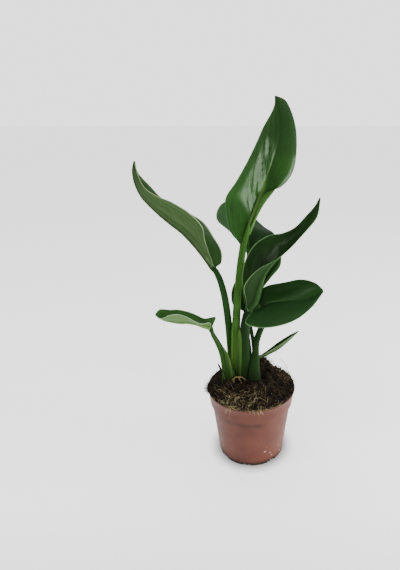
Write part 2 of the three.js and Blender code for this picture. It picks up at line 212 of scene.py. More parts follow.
def wrapped(name: str, rings: np.ndarray, marks: dict[str, np.ndarray]) -> bpy.types.Object:
    """Wraps a grid round a row of rings and closes both ends.

    Args:
        name: The name of the new piece.
        rings: The points in millimetres, as rows of rings with equal counts.
        marks: Values for each point, kept as attributes under these names.

    Returns:
        The closed, smooth piece.
    """
    rows, size = rings.shape[:2]
    deselect()
    bpy.ops.mesh.primitive_grid_add(x_subdivisions=size, y_subdivisions=rows - 1, size=2)
    piece = name_piece(bpy.context.object, name)
    flat = np.empty(len(piece.data.vertices) * 3)
    piece.data.vertices.foreach_get("co", flat)
    flat = flat.reshape(-1, 3)
    column = np.rint((flat[:, 0] + 1) / 2 * size).astype(int) % size
    row = np.rint((flat[:, 1] + 1) / 2 * (rows - 1)).astype(int)
    piece.data.vertices.foreach_set("co", (rings[row, column] * MM).ravel())
    for key, values in marks.items():
        mark = piece.data.attributes.new(key, "FLOAT", "POINT")
        mark.data.foreach_set("value", values[row, column].astype(np.float32))
    bpy.ops.object.mode_set(mode="EDIT")
    bpy.ops.mesh.select_all(action="SELECT")
    bpy.ops.mesh.remove_doubles(threshold=1e-8)
    bpy.ops.mesh.select_all(action="DESELECT")
    bpy.ops.mesh.select_non_manifold(use_wire=False, use_multi_face=False, use_verts=False)
    bpy.ops.mesh.edge_face_add()
    bpy.ops.mesh.select_all(action="SELECT")
    bpy.ops.mesh.normals_make_consistent(inside=False)
    bpy.ops.object.mode_set(mode="OBJECT")
    bpy.ops.object.shade_smooth()
    return piece


def spun(name: str, outline: Points, steps: int) -> bpy.types.Object:
    """Draws an outline point by point and spins it round the upright axis.

    Args:
        name: The name of the new piece.
        outline: Radius and height of each point, in millimetres.
        steps: The number of sides.

    Returns:
        The closed piece, with its faces outwards.
    """
    deselect()
    bpy.ops.mesh.primitive_plane_add(size=MM)
    piece = name_piece(bpy.context.object, name)
    bpy.ops.object.mode_set(mode="EDIT")
    bpy.ops.mesh.select_all(action="SELECT")
    bpy.ops.mesh.merge(type="CENTER")
    place = np.zeros(2)
    for k, point in enumerate(np.array(outline) * MM):
        step = (point[0] - place[0], 0.0, point[1] - place[1])
        if k == 0:
            bpy.ops.transform.translate(value=step)
        else:
            bpy.ops.mesh.extrude_vertices_move(TRANSFORM_OT_translate={"value": step})
        place = point
    bpy.ops.mesh.select_all(action="SELECT")
    bpy.ops.mesh.spin(steps=steps, angle=TURN, center=(0, 0, 0), axis=(0, 0, 1))
    weld(1e-6)
    return piece


def strands(
    name: str, paths: list[np.ndarray], radii: list[np.ndarray], roundness: int = 0
) -> bpy.types.Object:
    """Draws thin rods along paths, as curves that then become one mesh.

    Args:
        name: The name of the new piece.
        paths: The points of each rod, in millimetres.
        radii: The radius at each of those points.
        roundness: How finely each rod's section is rounded.

    Returns:
        The mesh of all the rods.
    """
    curve = bpy.data.curves.new(name, "CURVE")
    curve.dimensions = "3D"
    curve.bevel_depth = MM
    curve.bevel_resolution = roundness
    curve.use_fill_caps = True
    for path, radius in zip(paths, radii):
        line = curve.splines.new("POLY")
        line.points.add(len(path) - 1)
        line.points.foreach_set("co", np.c_[path * MM, np.ones(len(path))].ravel())
        line.points.foreach_set("radius", radius)
    piece = bpy.data.objects.new(name, curve)
    bpy.context.scene.collection.objects.link(piece)
    pick(piece)
    bpy.ops.object.convert(target="MESH")
    piece = name_piece(bpy.context.object, name)
    weld(1e-7)
    bpy.ops.object.shade_smooth()
    return piece


def strewn(name: str, grain: bpy.types.Object, places: list[Matrix]) -> bpy.types.Object:
    """Copies a grain to each place, with its own mesh, and joins the copies.

    Args:
        name: The name of the joined piece.
        grain: The grain at the origin, removed at the end.
        places: Where each copy goes, in metres.

    Returns:
        The joined piece.
    """
    copies = []
    for place in places:
        mesh = grain.data.copy()
        mesh.transform(place)
        copy = bpy.data.objects.new(name, mesh)
        bpy.context.scene.collection.objects.link(copy)
        copies.append(copy)
    bpy.data.objects.remove(grain)
    pick(*copies)
    bpy.ops.object.join()
    return name_piece(bpy.context.object, name)


class Shader:
    """One node material, built a node at a time."""

    def __init__(self, name: str) -> None:
        """Starts the material with its plain surface shader.

        Args:
            name: The material's name.
        """
        self.material = bpy.data.materials.new(name)
        self.material.use_nodes = True
        self.tree = self.material.node_tree
        self.surface = self.tree.nodes["Principled BSDF"]

    def feed(self, socket: bpy.types.NodeSocket, value: object) -> None:
        """Links an output to a socket, or sets the socket's own value.

        Args:
            socket: The input.
            value: The output that it reads, or a constant.
        """
        if isinstance(value, bpy.types.NodeSocket):
            self.tree.links.new(value, socket)
        else:
            socket.default_value = value

    def node(self, kind: str, values: dict[int | str, object], **choices: object) -> bpy.types.Node:
        """Adds a node.

        Args:
            kind: The node's type, without the leading "ShaderNode".
            values: What goes into each of its inputs.
            choices: The node's own settings.

        Returns:
            The new node.
        """
        made = self.tree.nodes.new("ShaderNode" + kind)
        for key, choice in choices.items():
            setattr(made, key, choice)
        for socket, value in values.items():
            self.feed(made.inputs[socket], value)
        return made

    def mark(self, name: str) -> bpy.types.NodeSocket:
        """Reads one of the mesh's own attributes."""
        return self.node("Attribute", {}, attribute_name=name).outputs["Fac"]

    def place(self) -> bpy.types.NodeSocket:
        """Reads the place on the object, in metres."""
        return self.node("TexCoord", {}).outputs["Object"]

    def height(self) -> bpy.types.NodeSocket:
        """Reads the height above the floor, in metres."""
        return self.node("SeparateXYZ", {0: self.place()}).outputs["Z"]

    def sum(self, operation: str, *terms: object) -> bpy.types.NodeSocket:
        """Works out one arithmetic step."""
        return self.node("Math", dict(enumerate(terms)), operation=operation).outputs[0]

    def span(
        self, value: object, low: float, high: float, start: float = 0.0, end: float = 1.0
    ) -> bpy.types.NodeSocket:
        """Stretches a value from one range to another, clamped."""
        values = {"Value": value, "From Min": low, "From Max": high, "To Min": start, "To Max": end}
        return self.node("MapRange", values, clamp=True).outputs[0]

    def cloud(self, scale: float, detail: float = 4.0, vector: object = None) -> bpy.types.NodeSocket:
        """Adds soft noise, on the object's own coordinates unless others are given."""
        values = {"Vector": vector or self.place(), "Scale": scale, "Detail": detail}
        return self.node("TexNoise", values).outputs["Fac"]

    def blend(self, share: object, first: object, second: object) -> bpy.types.NodeSocket:
        """Blends two colours."""
        made = self.node("Mix", {0: share, 6: first, 7: second}, data_type="RGBA")
        return made.outputs[2]

    def relief(self, height: object, distance: float, strength: float = 1.0) -> None:
        """Raises the surface by a height pattern, with its depth in millimetres."""
        values = {"Height": height, "Distance": distance * MM, "Strength": strength}
        self.feed(self.surface.inputs["Normal"], self.node("Bump", values).outputs[0])

    def coat(self, **sockets: object) -> None:
        """Sets sockets of the surface shader, with underscores for spaces."""
        for key, value in sockets.items():
            self.feed(self.surface.inputs[key.replace("_", " ")], value)


@dataclass(frozen=True)
class LeafFinish:
    """The colours and gloss of one kind of leaf, and of its stalk."""

    kind: Grown
    deep: str
    light: str
    underside: str
    rib: str
    margin: str
    stalk_foot: str
    stalk_head: str
    gloss: float = 0.3
    dull: float = 0.48
    shine: float = 0.15
    patchy: tuple[float, float] = (0.33, 0.46)
    # a darker green for the half right of the rib, as painted shade
    shaded_right_half: str | None = None
    # a paler green for a band along the right edge, as painted sheen
    sheen_right_edge: str | None = None
    # a darker green for the core of the rib's underside, as painted shade
    keel_shade: str | None = None
    vein_depth: float = 0.12

    # the dark green painted on the stalks close to the soil, as painted shade
    SOIL_SHADE = "#0d1605"
    SHEEN = (0.75, 1.0, 0.7, 1.0)
    VEIN_PITCH = 1.5 * MM
    # heights in metres over which the upper blade is painted darker, as painted shade
    DEEP_ABOVE = (0.36, 0.43)
    STALK_CLIMB = (0.11, 0.19)
    SOIL_SHADE_BELOW = (0.11, 0.14)

    def material(self) -> bpy.types.Material:
        """Builds the leaf material with its veins, pale margin and lengthwise stalk streaks.

        Returns:
            The material.
        """
        s = Shader("leaf_" + self.kind.value)
        fine = s.cloud(1.0, 4.0, self.grid(s, 0.7, 300.0))
        broad = s.cloud(1.0, 2.0, self.grid(s, 2.2, 95.0))
        off = s.sum("ABSOLUTE", s.sum("SUBTRACT", broad, 0.5))
        crease = s.span(off, 0.0, 0.035, 1.0, 0.0)
        face = s.blend(s.mark("under"), self.upper_side(s, fine, crease), self.under_side(s, fine))
        # darkens the upper part of the blade towards its deep green: painted shade
        face = s.blend(s.span(s.height(), *self.DEEP_ABOVE, 0.0, 0.9), face, tint(self.deep))
        face = s.blend(s.mark("rib"), face, tint(self.rib))
        # darkens the core of the rib's underside: painted shade
        if self.keel_shade:
            face = s.blend(s.mark("keel_shade"), face, tint(self.keel_shade))
        face = s.blend(s.mark("margin"), face, tint(self.margin))
        s.coat(
            Specular_Tint=self.SHEEN,
            Base_Color=s.blend(s.mark("stalk"), face, self.stalk_side(s)),
            Roughness=self.roughness(s, fine, broad),
            Specular_IOR_Level=self.shine,
        )
        lines = s.sum("SINE", s.sum("MULTIPLY", s.mark("vein"), TURN / self.VEIN_PITCH))
        ridges = s.sum("ADD", s.sum("MULTIPLY", lines, 0.05), s.sum("MULTIPLY", fine, 0.4))
        relief = s.sum("ADD", ridges, s.sum("MULTIPLY", broad, 3.0))
        s.relief(s.sum("SUBTRACT", relief, s.sum("MULTIPLY", crease, 0.5)), self.vein_depth, 0.6)
        return s.material

    def upper_side(
        self, s: Shader, fine: bpy.types.NodeSocket, crease: bpy.types.NodeSocket
    ) -> bpy.types.NodeSocket:
        """Mottles the upper side along its veins, with painted shade in its creases and right half and
        a painted sheen along its right edge where the finish has them.

        Args:
            s: The leaf's shader.
            fine: The fine noise along the side veins.
            crease: The thin creases between them.

        Returns:
            The colour of the upper side.
        """
        mix = s.sum("ADD", s.sum("MULTIPLY", fine, 0.35), s.cloud(26.0, 2.0))
        upper = s.blend(s.span(mix, 0.4, 0.95), tint(self.deep), tint(self.light))
        # darkens the thin creases towards the deep green: painted shade
        upper = s.blend(s.sum("MULTIPLY", crease, 0.35), upper, tint(self.deep))
        lengthwise = s.cloud(1.0, 2.0, self.grid(s, 11.0, 7.0))
        upper = s.blend(s.span(lengthwise, 0.45, 0.7, 0.0, 0.6), upper, tint(self.light))
        # turns the half right of the rib darker: painted shade
        if self.shaded_right_half:
            shade_past_rib = s.span(s.mark("across"), -0.05, 0.1, 0.0, 0.9)
            upper = s.blend(shade_past_rib, upper, tint(self.shaded_right_half))
        # pales a band along the right edge: painted sheen
        if self.sheen_right_edge:
            sheen_near_edge = s.span(s.mark("across"), 0.6, 0.95, 0.0, 0.7)
            upper = s.blend(sheen_near_edge, upper, tint(self.sheen_right_edge))
        return upper

    def under_side(self, s: Shader, fine: bpy.types.NodeSocket) -> bpy.types.NodeSocket:
        """Streaks the under side lengthwise.

        Args:
            s: The leaf's shader.
            fine: The fine noise along the side veins.

        Returns:
            The colour of the under side.
        """
        streaks = s.span(s.cloud(1.0, 3.0, self.grid(s, 8.0, 9.0)), 0.35, 0.65, 0.0, 0.6)
        streaked = s.sum("ADD", streaks, s.span(fine, 0.3, 0.7, 0.0, 0.2))
        return s.blend(streaked, tint(self.underside), tint(self.light))

    def stalk_side(self, s: Shader) -> bpy.types.NodeSocket:
        """Turns the stalk from its pale foot to its head, with fibres, painted light on its left side
        and painted shade at its foot near the soil.

        Args:
            s: The leaf's shader.

        Returns:
            The colour of the stalk.
        """
        climb = s.span(s.height(), *self.STALK_CLIMB)
        # the right side of the stalk takes the head's colour before the left: painted light falling
        # from the left
        side = s.span(s.mark("across"), -0.8, 0.5, 0.0, 0.7)
        stalk = s.blend(s.sum("MAXIMUM", climb, side), tint(self.stalk_foot), tint(self.stalk_head))
        fibres = s.cloud(1.0, 3.0, self.grid(s, 7.0, 14.0))
        stalk = s.blend(s.span(fibres, 0.4, 0.7, 0.0, 0.5), stalk, tint(self.deep))
        # darkens the stalk close to the soil: painted shade
        return s.blend(s.span(s.height(), *self.SOIL_SHADE_BELOW, 0.7, 0.0), stalk, tint(self.SOIL_SHADE))

    def roughness(
        self, s: Shader, fine: bpy.types.NodeSocket, broad: bpy.types.NodeSocket
    ) -> bpy.types.NodeSocket:
        """Makes the blade glossy in waxy patches and along its rolled edge, and dull elsewhere.

        Args:
            s: The leaf's shader.
            fine: The fine noise along the side veins.
            broad: The broad noise that places the patches.

        Returns:
            The roughness.
        """
        rolled = s.span(s.mark("across"), 0.7, 0.85)
        glossy = s.sum("MAXIMUM", s.span(broad, *self.patchy), rolled)
        patches = s.sum("MULTIPLY", s.mark("wax"), glossy)
        gloss = s.span(patches, 0.0, 1.0, self.dull, self.gloss)
        return s.sum("ADD", gloss, s.span(fine, 0, 1, 0, 0.1))

    def grid(self, s: Shader, across: float, along: float) -> bpy.types.NodeSocket:
        """Lays out the leaf by its place across and along the side veins.

        Args:
            s: The shader that reads it.
            across: How far the grid runs from rib to edge.
            along: How far it runs in a metre along the rib.

        Returns:
            The place on the grid.
        """
        sides = {
            0: s.sum("MULTIPLY", s.mark("across"), across),
            1: s.sum("MULTIPLY", s.mark("vein"), along),
        }
        return s.node("CombineXYZ", sides).outputs[0]


FINISHES = {
    Grown.UPRIGHT: LeafFinish(
        Grown.UPRIGHT, "#112b08", "#255115", "#2f4d1a", "#6d8f48", "#34552a", "#5f852e", "#3a6320",
        gloss=0.13, dull=0.85, shine=0.32, keel_shade="#30511a",
    ),
    Grown.BROAD: LeafFinish(
        Grown.BROAD, "#193514", "#21421a", "#2c4a1f", "#5a834d", "#4f7544", "#163008", "#0e2407",
        gloss=0.25, dull=0.75, shine=0.22, patchy=(0.2, 0.35), shaded_right_half="#13310f",
    ),
    Grown.SHADED: LeafFinish(
        Grown.SHADED, "#0e2109", "#1f3b15", "#10200b", "#2b4a22", "#587a4a", "#1a350a", "#0f280c",
        gloss=0.25, dull=0.75, shine=0.18, sheen_right_edge="#55823f",
    ),
    Grown.DUSTY: LeafFinish(
        Grown.DUSTY, "#1e3d1a", "#2c5226", "#2c4724", "#3b5b33", "#4d7044", "#1e3a0f", "#1c3c16",
        gloss=0.45, shaded_right_half="#1b3618",
    ),
    Grown.YOUNG: LeafFinish(
        Grown.YOUNG, "#24481c", "#355c27", "#5d7848", "#6e8f4a", "#9dbb8a", "#2f4c0c", "#17340a",
    ),
    Grown.PALE: LeafFinish(
        Grown.PALE, "#163012", "#254319", "#475a37", "#5f7a52", "#8b9c73", "#315f18", "#15360e",
        dull=0.7, keel_shade="#2a3a1a",
    ),
    Grown.SHEATH: LeafFinish(
        Grown.SHEATH, "#1a300c", "#35580f", "#2f4d1a", "#5c7f26", "#567a3a", "#1c300c", "#3d5f20",
        dull=0.6,
    ),
}

SLOTS = {
    Grown.UPRIGHT: "leaf_green",
    Grown.BROAD: "leaf_green",
    Grown.SHADED: "leaf_shaded",
    Grown.DUSTY: "leaf_shaded",
    Grown.YOUNG: "leaf_young",
    Grown.PALE: "leaf_pale",
    Grown.SHEATH: "leaf_green",
}


@dataclass(frozen=True)
class Rows:
    """A blade's rib and edges, read row by row from its foot to its tip."""

    places: np.ndarray
    share: np.ndarray
    swell: np.ndarray
    rib: np.ndarray
    edges: tuple[np.ndarray, np.ndarray]
    face: np.ndarray
    distance: np.ndarray
    radius: np.ndarray


@dataclass(frozen=True)
class Half:
    """One side of a blade, row by row from the rib outwards."""

    points: np.ndarray
    out: np.ndarray
    off_rib: np.ndarray
    slant: np.ndarray


@dataclass(frozen=True)
class Leaf:
    """One leaf with its stalk, from the points that shape it in the solids too."""

    node: str
    grown: Grown
    foot: tuple[float, float, float]
    neck: tuple[float, float]
    sag: tuple[float, float]
    wave: tuple[tuple[float, float, float], tuple[float, float, float]]
    stalk: Points
    rib: Points
    left: Points
    right: Points
    right_fold: Points | None = None
    pleats: tuple[float, float] = (0.3, 0.2)
    climb: float = 45.0
    curl: float = 0.0
    wax: tuple[float, float] = (0.0, 400.0)
    slot: str | None = None

    FOOT_HEIGHT = 88.0
    FLATNESS = 0.8
    KEEL_DEPTH = 1.2
    KEEL_TAPER = 0.8
    TIP_STOP = 0.04
    THICK_AT_RIB = 0.8
    THICK_AT_EDGE = 0.4
    PLEAT_LENGTH = 25.0
    FINE_PLEAT_LENGTH = 9.0
    STALK_STEP = 3.0
    BLADE_STEP = 1.5
    MARGIN = 0.98
    WAX_FADE = 8.0
    WAX_SLANT = 42.0
    WAX_REACH = 0.75
    RIB_WIDTH = 0.27
    LEAST_RIB_WIDTH = 0.3
    GROOVE_DEPTH = 0.12
    GROOVE_WIDTH = 0.55
    INNER = (0.2, 0.4, 0.6, 0.8, 1.0)
    OUTER = (0.1, 0.2, 0.3, 0.4, 0.5, 0.6, 0.7, 0.8, 0.88, 0.95, 0.985, 1.0)

    def half_ring(self) -> int:
        """Counts the points on one face of a ring."""
        return 2 * (len(self.INNER) + len(self.OUTER)) + 1

    def stalk_frame(self, places: np.ndarray) -> tuple[np.ndarray, ...]:
        """Finds the stalk's centre line with its directions and radii.

        Args:
            places: Where along the stalk's points to read it.

        Returns:
            Centres, sideways and outward directions, and radii across and front to back.
        """
        seen = np.array(self.stalk, float)
        path = np.vstack([[seen[0][0], seen[0][1], self.FOOT_HEIGHT], seen])
        rib, left, right = (np.array(p, float) for p in (self.rib, self.left, self.right))
        blade_face = unit(np.cross(right[1] - left[1], tangents(rib, np.array([0.5]))[0]))
        share = (places / (len(path) - 1))[:, None]
        centre = spline(path, places)
        height = np.maximum(centre[:, 2:] - seen[0][2], 0)
        clasp = np.exp(-3 * (height / self.foot[2]) ** 2)
        plain = self.neck[0] + (self.neck[1] - self.neck[0]) * share
        face = FRONT * (1 - share ** 2) + blade_face * share ** 2
        forward = tangents(path, places)
        sideways = unit(np.cross(forward, face))
        outward = np.cross(sideways, forward)
        wide = plain + (self.foot[0] - plain) * clasp
        flat = self.FLATNESS * plain
        deep = flat + (self.foot[1] - flat) * clasp
        return centre, sideways, outward, wide, deep

    def stalk_rings(self) -> np.ndarray:
        """Lays out the rings of the stalk, which widens to a sheath at its foot.

        Returns:
            The rings, from the foot up.
        """
        length = np.linalg.norm(np.diff(np.array(self.stalk, float), axis=0), axis=1).sum() + 20
        steps = int(length / self.STALK_STEP)
        places = np.linspace(0, len(self.stalk), steps + 1)
        centre, sideways, outward, wide, deep = self.stalk_frame(places)
        count = 2 * self.half_ring()
        angle = math.pi - (np.arange(count) + 0.5) / count * TURN
        share = (places / places[-1])[:, None]
        channel = 1 - 0.3 * share ** 3 * np.exp(-(np.cos(angle) / 0.45) ** 2) * (np.sin(angle) > 0)
        across = (wide * np.cos(angle))[..., None] * sideways[:, None]
        out = (deep * np.sin(angle) * channel)[..., None] * outward[:, None]
        return centre[:, None] + across + out

    def rows(self) -> Rows:
        """Reads the rib and both edges at even steps.

        Returns:
            The blade's rows.
        """
        rib, left, right = (np.array(p, float) for p in (self.rib, self.left, self.right))
        stations = len(rib) - 1
        length = np.linalg.norm(np.diff(rib, axis=0), axis=1).sum()
        steps = int(length / self.BLADE_STEP)
        places = np.linspace(0, stations - self.TIP_STOP, steps + 1)
        share = (places / stations)[:, None]
        line, forward = spline(rib, places), tangents(rib, places)
        edges = (spline(left, places), spline(right, places))
        face = unit(np.cross(edges[1] - edges[0], forward))
        distance = np.r_[0, np.cumsum(np.linalg.norm(np.diff(line, axis=0), axis=1))][:, None]
        radius = self.neck[1] * (1 - share) ** self.KEEL_TAPER
        swell = np.sin(math.pi * share)
        return Rows(places, share, swell, line, edges, face, distance, radius)

    def half(self, rows: Rows, side: int) -> Half:
        """Bends one side of the blade from the rib over its middle to its edge.

        Args:
            rows: The blade's rows.
            side: 0 for the left side and 1 for the right one.

        Returns:
            The side's points, and where each lies.
        """
        end = rows.edges[side]
        middle = (rows.rib + end) / 2 - rows.face * self.sag[side] * rows.swell ** 0.7
        if side == 1 and self.right_fold:
            middle = spline(np.array(self.right_fold, float), rows.places)
        reach = np.linalg.norm(rows.rib - end, axis=1, keepdims=True)
        first = np.clip(rows.radius / reach, 0.05, 0.35)
        inner = first * np.array(self.INNER)
        outer = first + (1 - first) * np.array(self.OUTER)
        out = np.hstack([inner, outer])
        height, count, phase = self.wave[side]
        lift = height * rows.swell ** 0.8 * np.sin(TURN * (count * rows.share + phase)) * out ** 2
        slant = rows.distance - self.climb * out
        lift = lift + self.pleat(slant, side) * np.sin(math.pi * out) * rows.swell ** 0.6
        if side == 1:
            lift = lift + self.curl * np.maximum(out - 0.2, 0) ** 2 * (1 - out) * rows.swell
        o = out[..., None]
        points = (
            rows.rib[:, None] * (1 - o) * (1 - 2 * o)
            + middle[:, None] * 4 * o * (1 - o)
            + end[:, None] * o * (2 * o - 1)
            + rows.face[:, None] * lift[..., None]
        )
        return Half(points, out, out * reach, slant)

    def pleat(self, slant: np.ndarray, side: int) -> np.ndarray:
        """Raises soft uneven pleats between the side veins, which climb towards the tip.

        Args:
            slant: Where along the side veins each point lies, in millimetres.
            side: 0 for the left side and 1 for the right one.

        Returns:
            How far each point is raised.
        """
        main = np.sin(TURN * slant / self.PLEAT_LENGTH + 1.7 * side)
        fine = np.sin(TURN * slant / self.FINE_PLEAT_LENGTH + 0.9)
        return self.pleats[side] * (main + 0.3 * fine)

    def waxed(self, rows: Rows, across: np.ndarray) -> np.ndarray:
        """Finds the waxy stretch of the upper side, which ends in a slant at its foot.

        Args:
            rows: The blade's rows.
            across: The place from edge to edge, with the rib at zero.

        Returns:
            How waxy each point is.
        """
        wax_foot = self.wax[0] + self.WAX_SLANT * np.abs(across)
        ends_off = np.minimum(rows.distance - wax_foot, self.wax[1] - rows.distance)
        inner = np.clip((self.WAX_REACH + across) / 0.15, 0, 1) * (across < 0)
        rolled = np.clip((across - self.WAX_REACH) / 0.1, 0, 1)
        return np.clip(ends_off / self.WAX_FADE, 0, 1) * np.maximum(inner, rolled)

    def blade_rings(self) -> tuple[np.ndarray, dict[str, np.ndarray]]:
        """Lays out the rings of the blade from rib, fold and edges.

        Returns:
            The rings, and the marks that the finish reads.
        """
        rows = self.rows()
        left, right = self.half(rows, 0), self.half(rows, 1)
        none = np.zeros_like(rows.share)
        sheet = np.concatenate([back(left.points), rows.rib[:, None], right.points], axis=1)
        across = np.hstack([back(-left.out), none, right.out])
        off_rib = np.hstack([back(left.off_rib), none, right.off_rib])
        vein = np.hstack([back(left.slant), rows.distance, right.slant]) * MM
        normal = unit(np.cross(np.gradient(sheet, axis=1), np.gradient(sheet, axis=0)))
        thick = self.THICK_AT_RIB + (self.THICK_AT_EDGE - self.THICK_AT_RIB) * np.abs(across)
        bulge = np.sqrt(np.maximum(0, 1 - (off_rib / rows.radius) ** 2))
        groove_width = self.GROOVE_WIDTH * rows.radius
        groove = self.GROOVE_DEPTH * rows.radius * np.exp(-((off_rib / groove_width) ** 2))
        upper = sheet + normal * (thick / 2 - groove)[..., None]
        lower = sheet - normal * (thick / 2 + self.KEEL_DEPTH * rows.radius * bulge)[..., None]
        rib_width = np.maximum(self.RIB_WIDTH * rows.radius, self.LEAST_RIB_WIDTH)
        fading = np.clip(1.15 - 1.5 * rows.share, 0, 1)
        upper_rib = np.exp(-((off_rib / rib_width) ** 2)) * fading
        under_rib = np.clip(bulge * 1.4, 0, 1) * (1 - rows.share) ** 0.4
        margin = np.where(np.abs(across) > self.MARGIN, 1.0, 0.0)
        nowhere, everywhere = np.zeros_like(across), np.ones_like(across)
        marks = {
            "across": faces(across, across),
            "wax": faces(self.waxed(rows, across), nowhere),
            "vein": faces(vein, vein),
            "rib": faces(upper_rib, under_rib),
            # the core of the rib's underside, where painted shade goes
            "keel_shade": faces(nowhere, np.clip((bulge - 0.4) / 0.25, 0, 1)),
            "margin": faces(margin, margin),
            "under": faces(nowhere, everywhere),
            "stalk": faces(nowhere, nowhere),
        }
        return faces(upper, lower), marks

    def build(self) -> bpy.types.Object:
        """Joins stalk and blade in one closed skin.

        Returns:
            The whole leaf.
        """
        stalk = self.stalk_rings()
        blade, marks = self.blade_rings()
        shares = np.array([0.25, 0.5, 0.75])[:, None, None]
        bridge = stalk[-1] * (1 - shares) + blade[0] * shares
        rings = np.concatenate([stalk, bridge, blade])
        count = len(stalk) + len(bridge)
        drop = np.linalg.norm(np.diff(rings.mean(axis=1), axis=0), axis=1)[:count]
        below = -np.cumsum(drop[::-1])[::-1] * MM
        size = rings.shape[1]
        turn = np.cos(math.pi - (np.arange(size) + 0.5) / size * TURN)
        before = {key: np.zeros((count, size)) for key in marks}
        before["across"] = np.tile(turn, (count, 1))
        before["vein"] = np.tile(below[:, None], (1, size))
        before["stalk"][:] = 1.0
        before["rib"][:] = marks["rib"][0]
        joined = {key: np.vstack([before[key], marks[key]]) for key in marks}
        return wrapped(self.node + "_grown", rings, joined)

    def dress(self, piece: bpy.types.Object, finish: bpy.types.Material) -> None:
        """Gives the leaf its green."""
        settle(piece, finish, self.slot or SLOTS[self.grown], self.node)


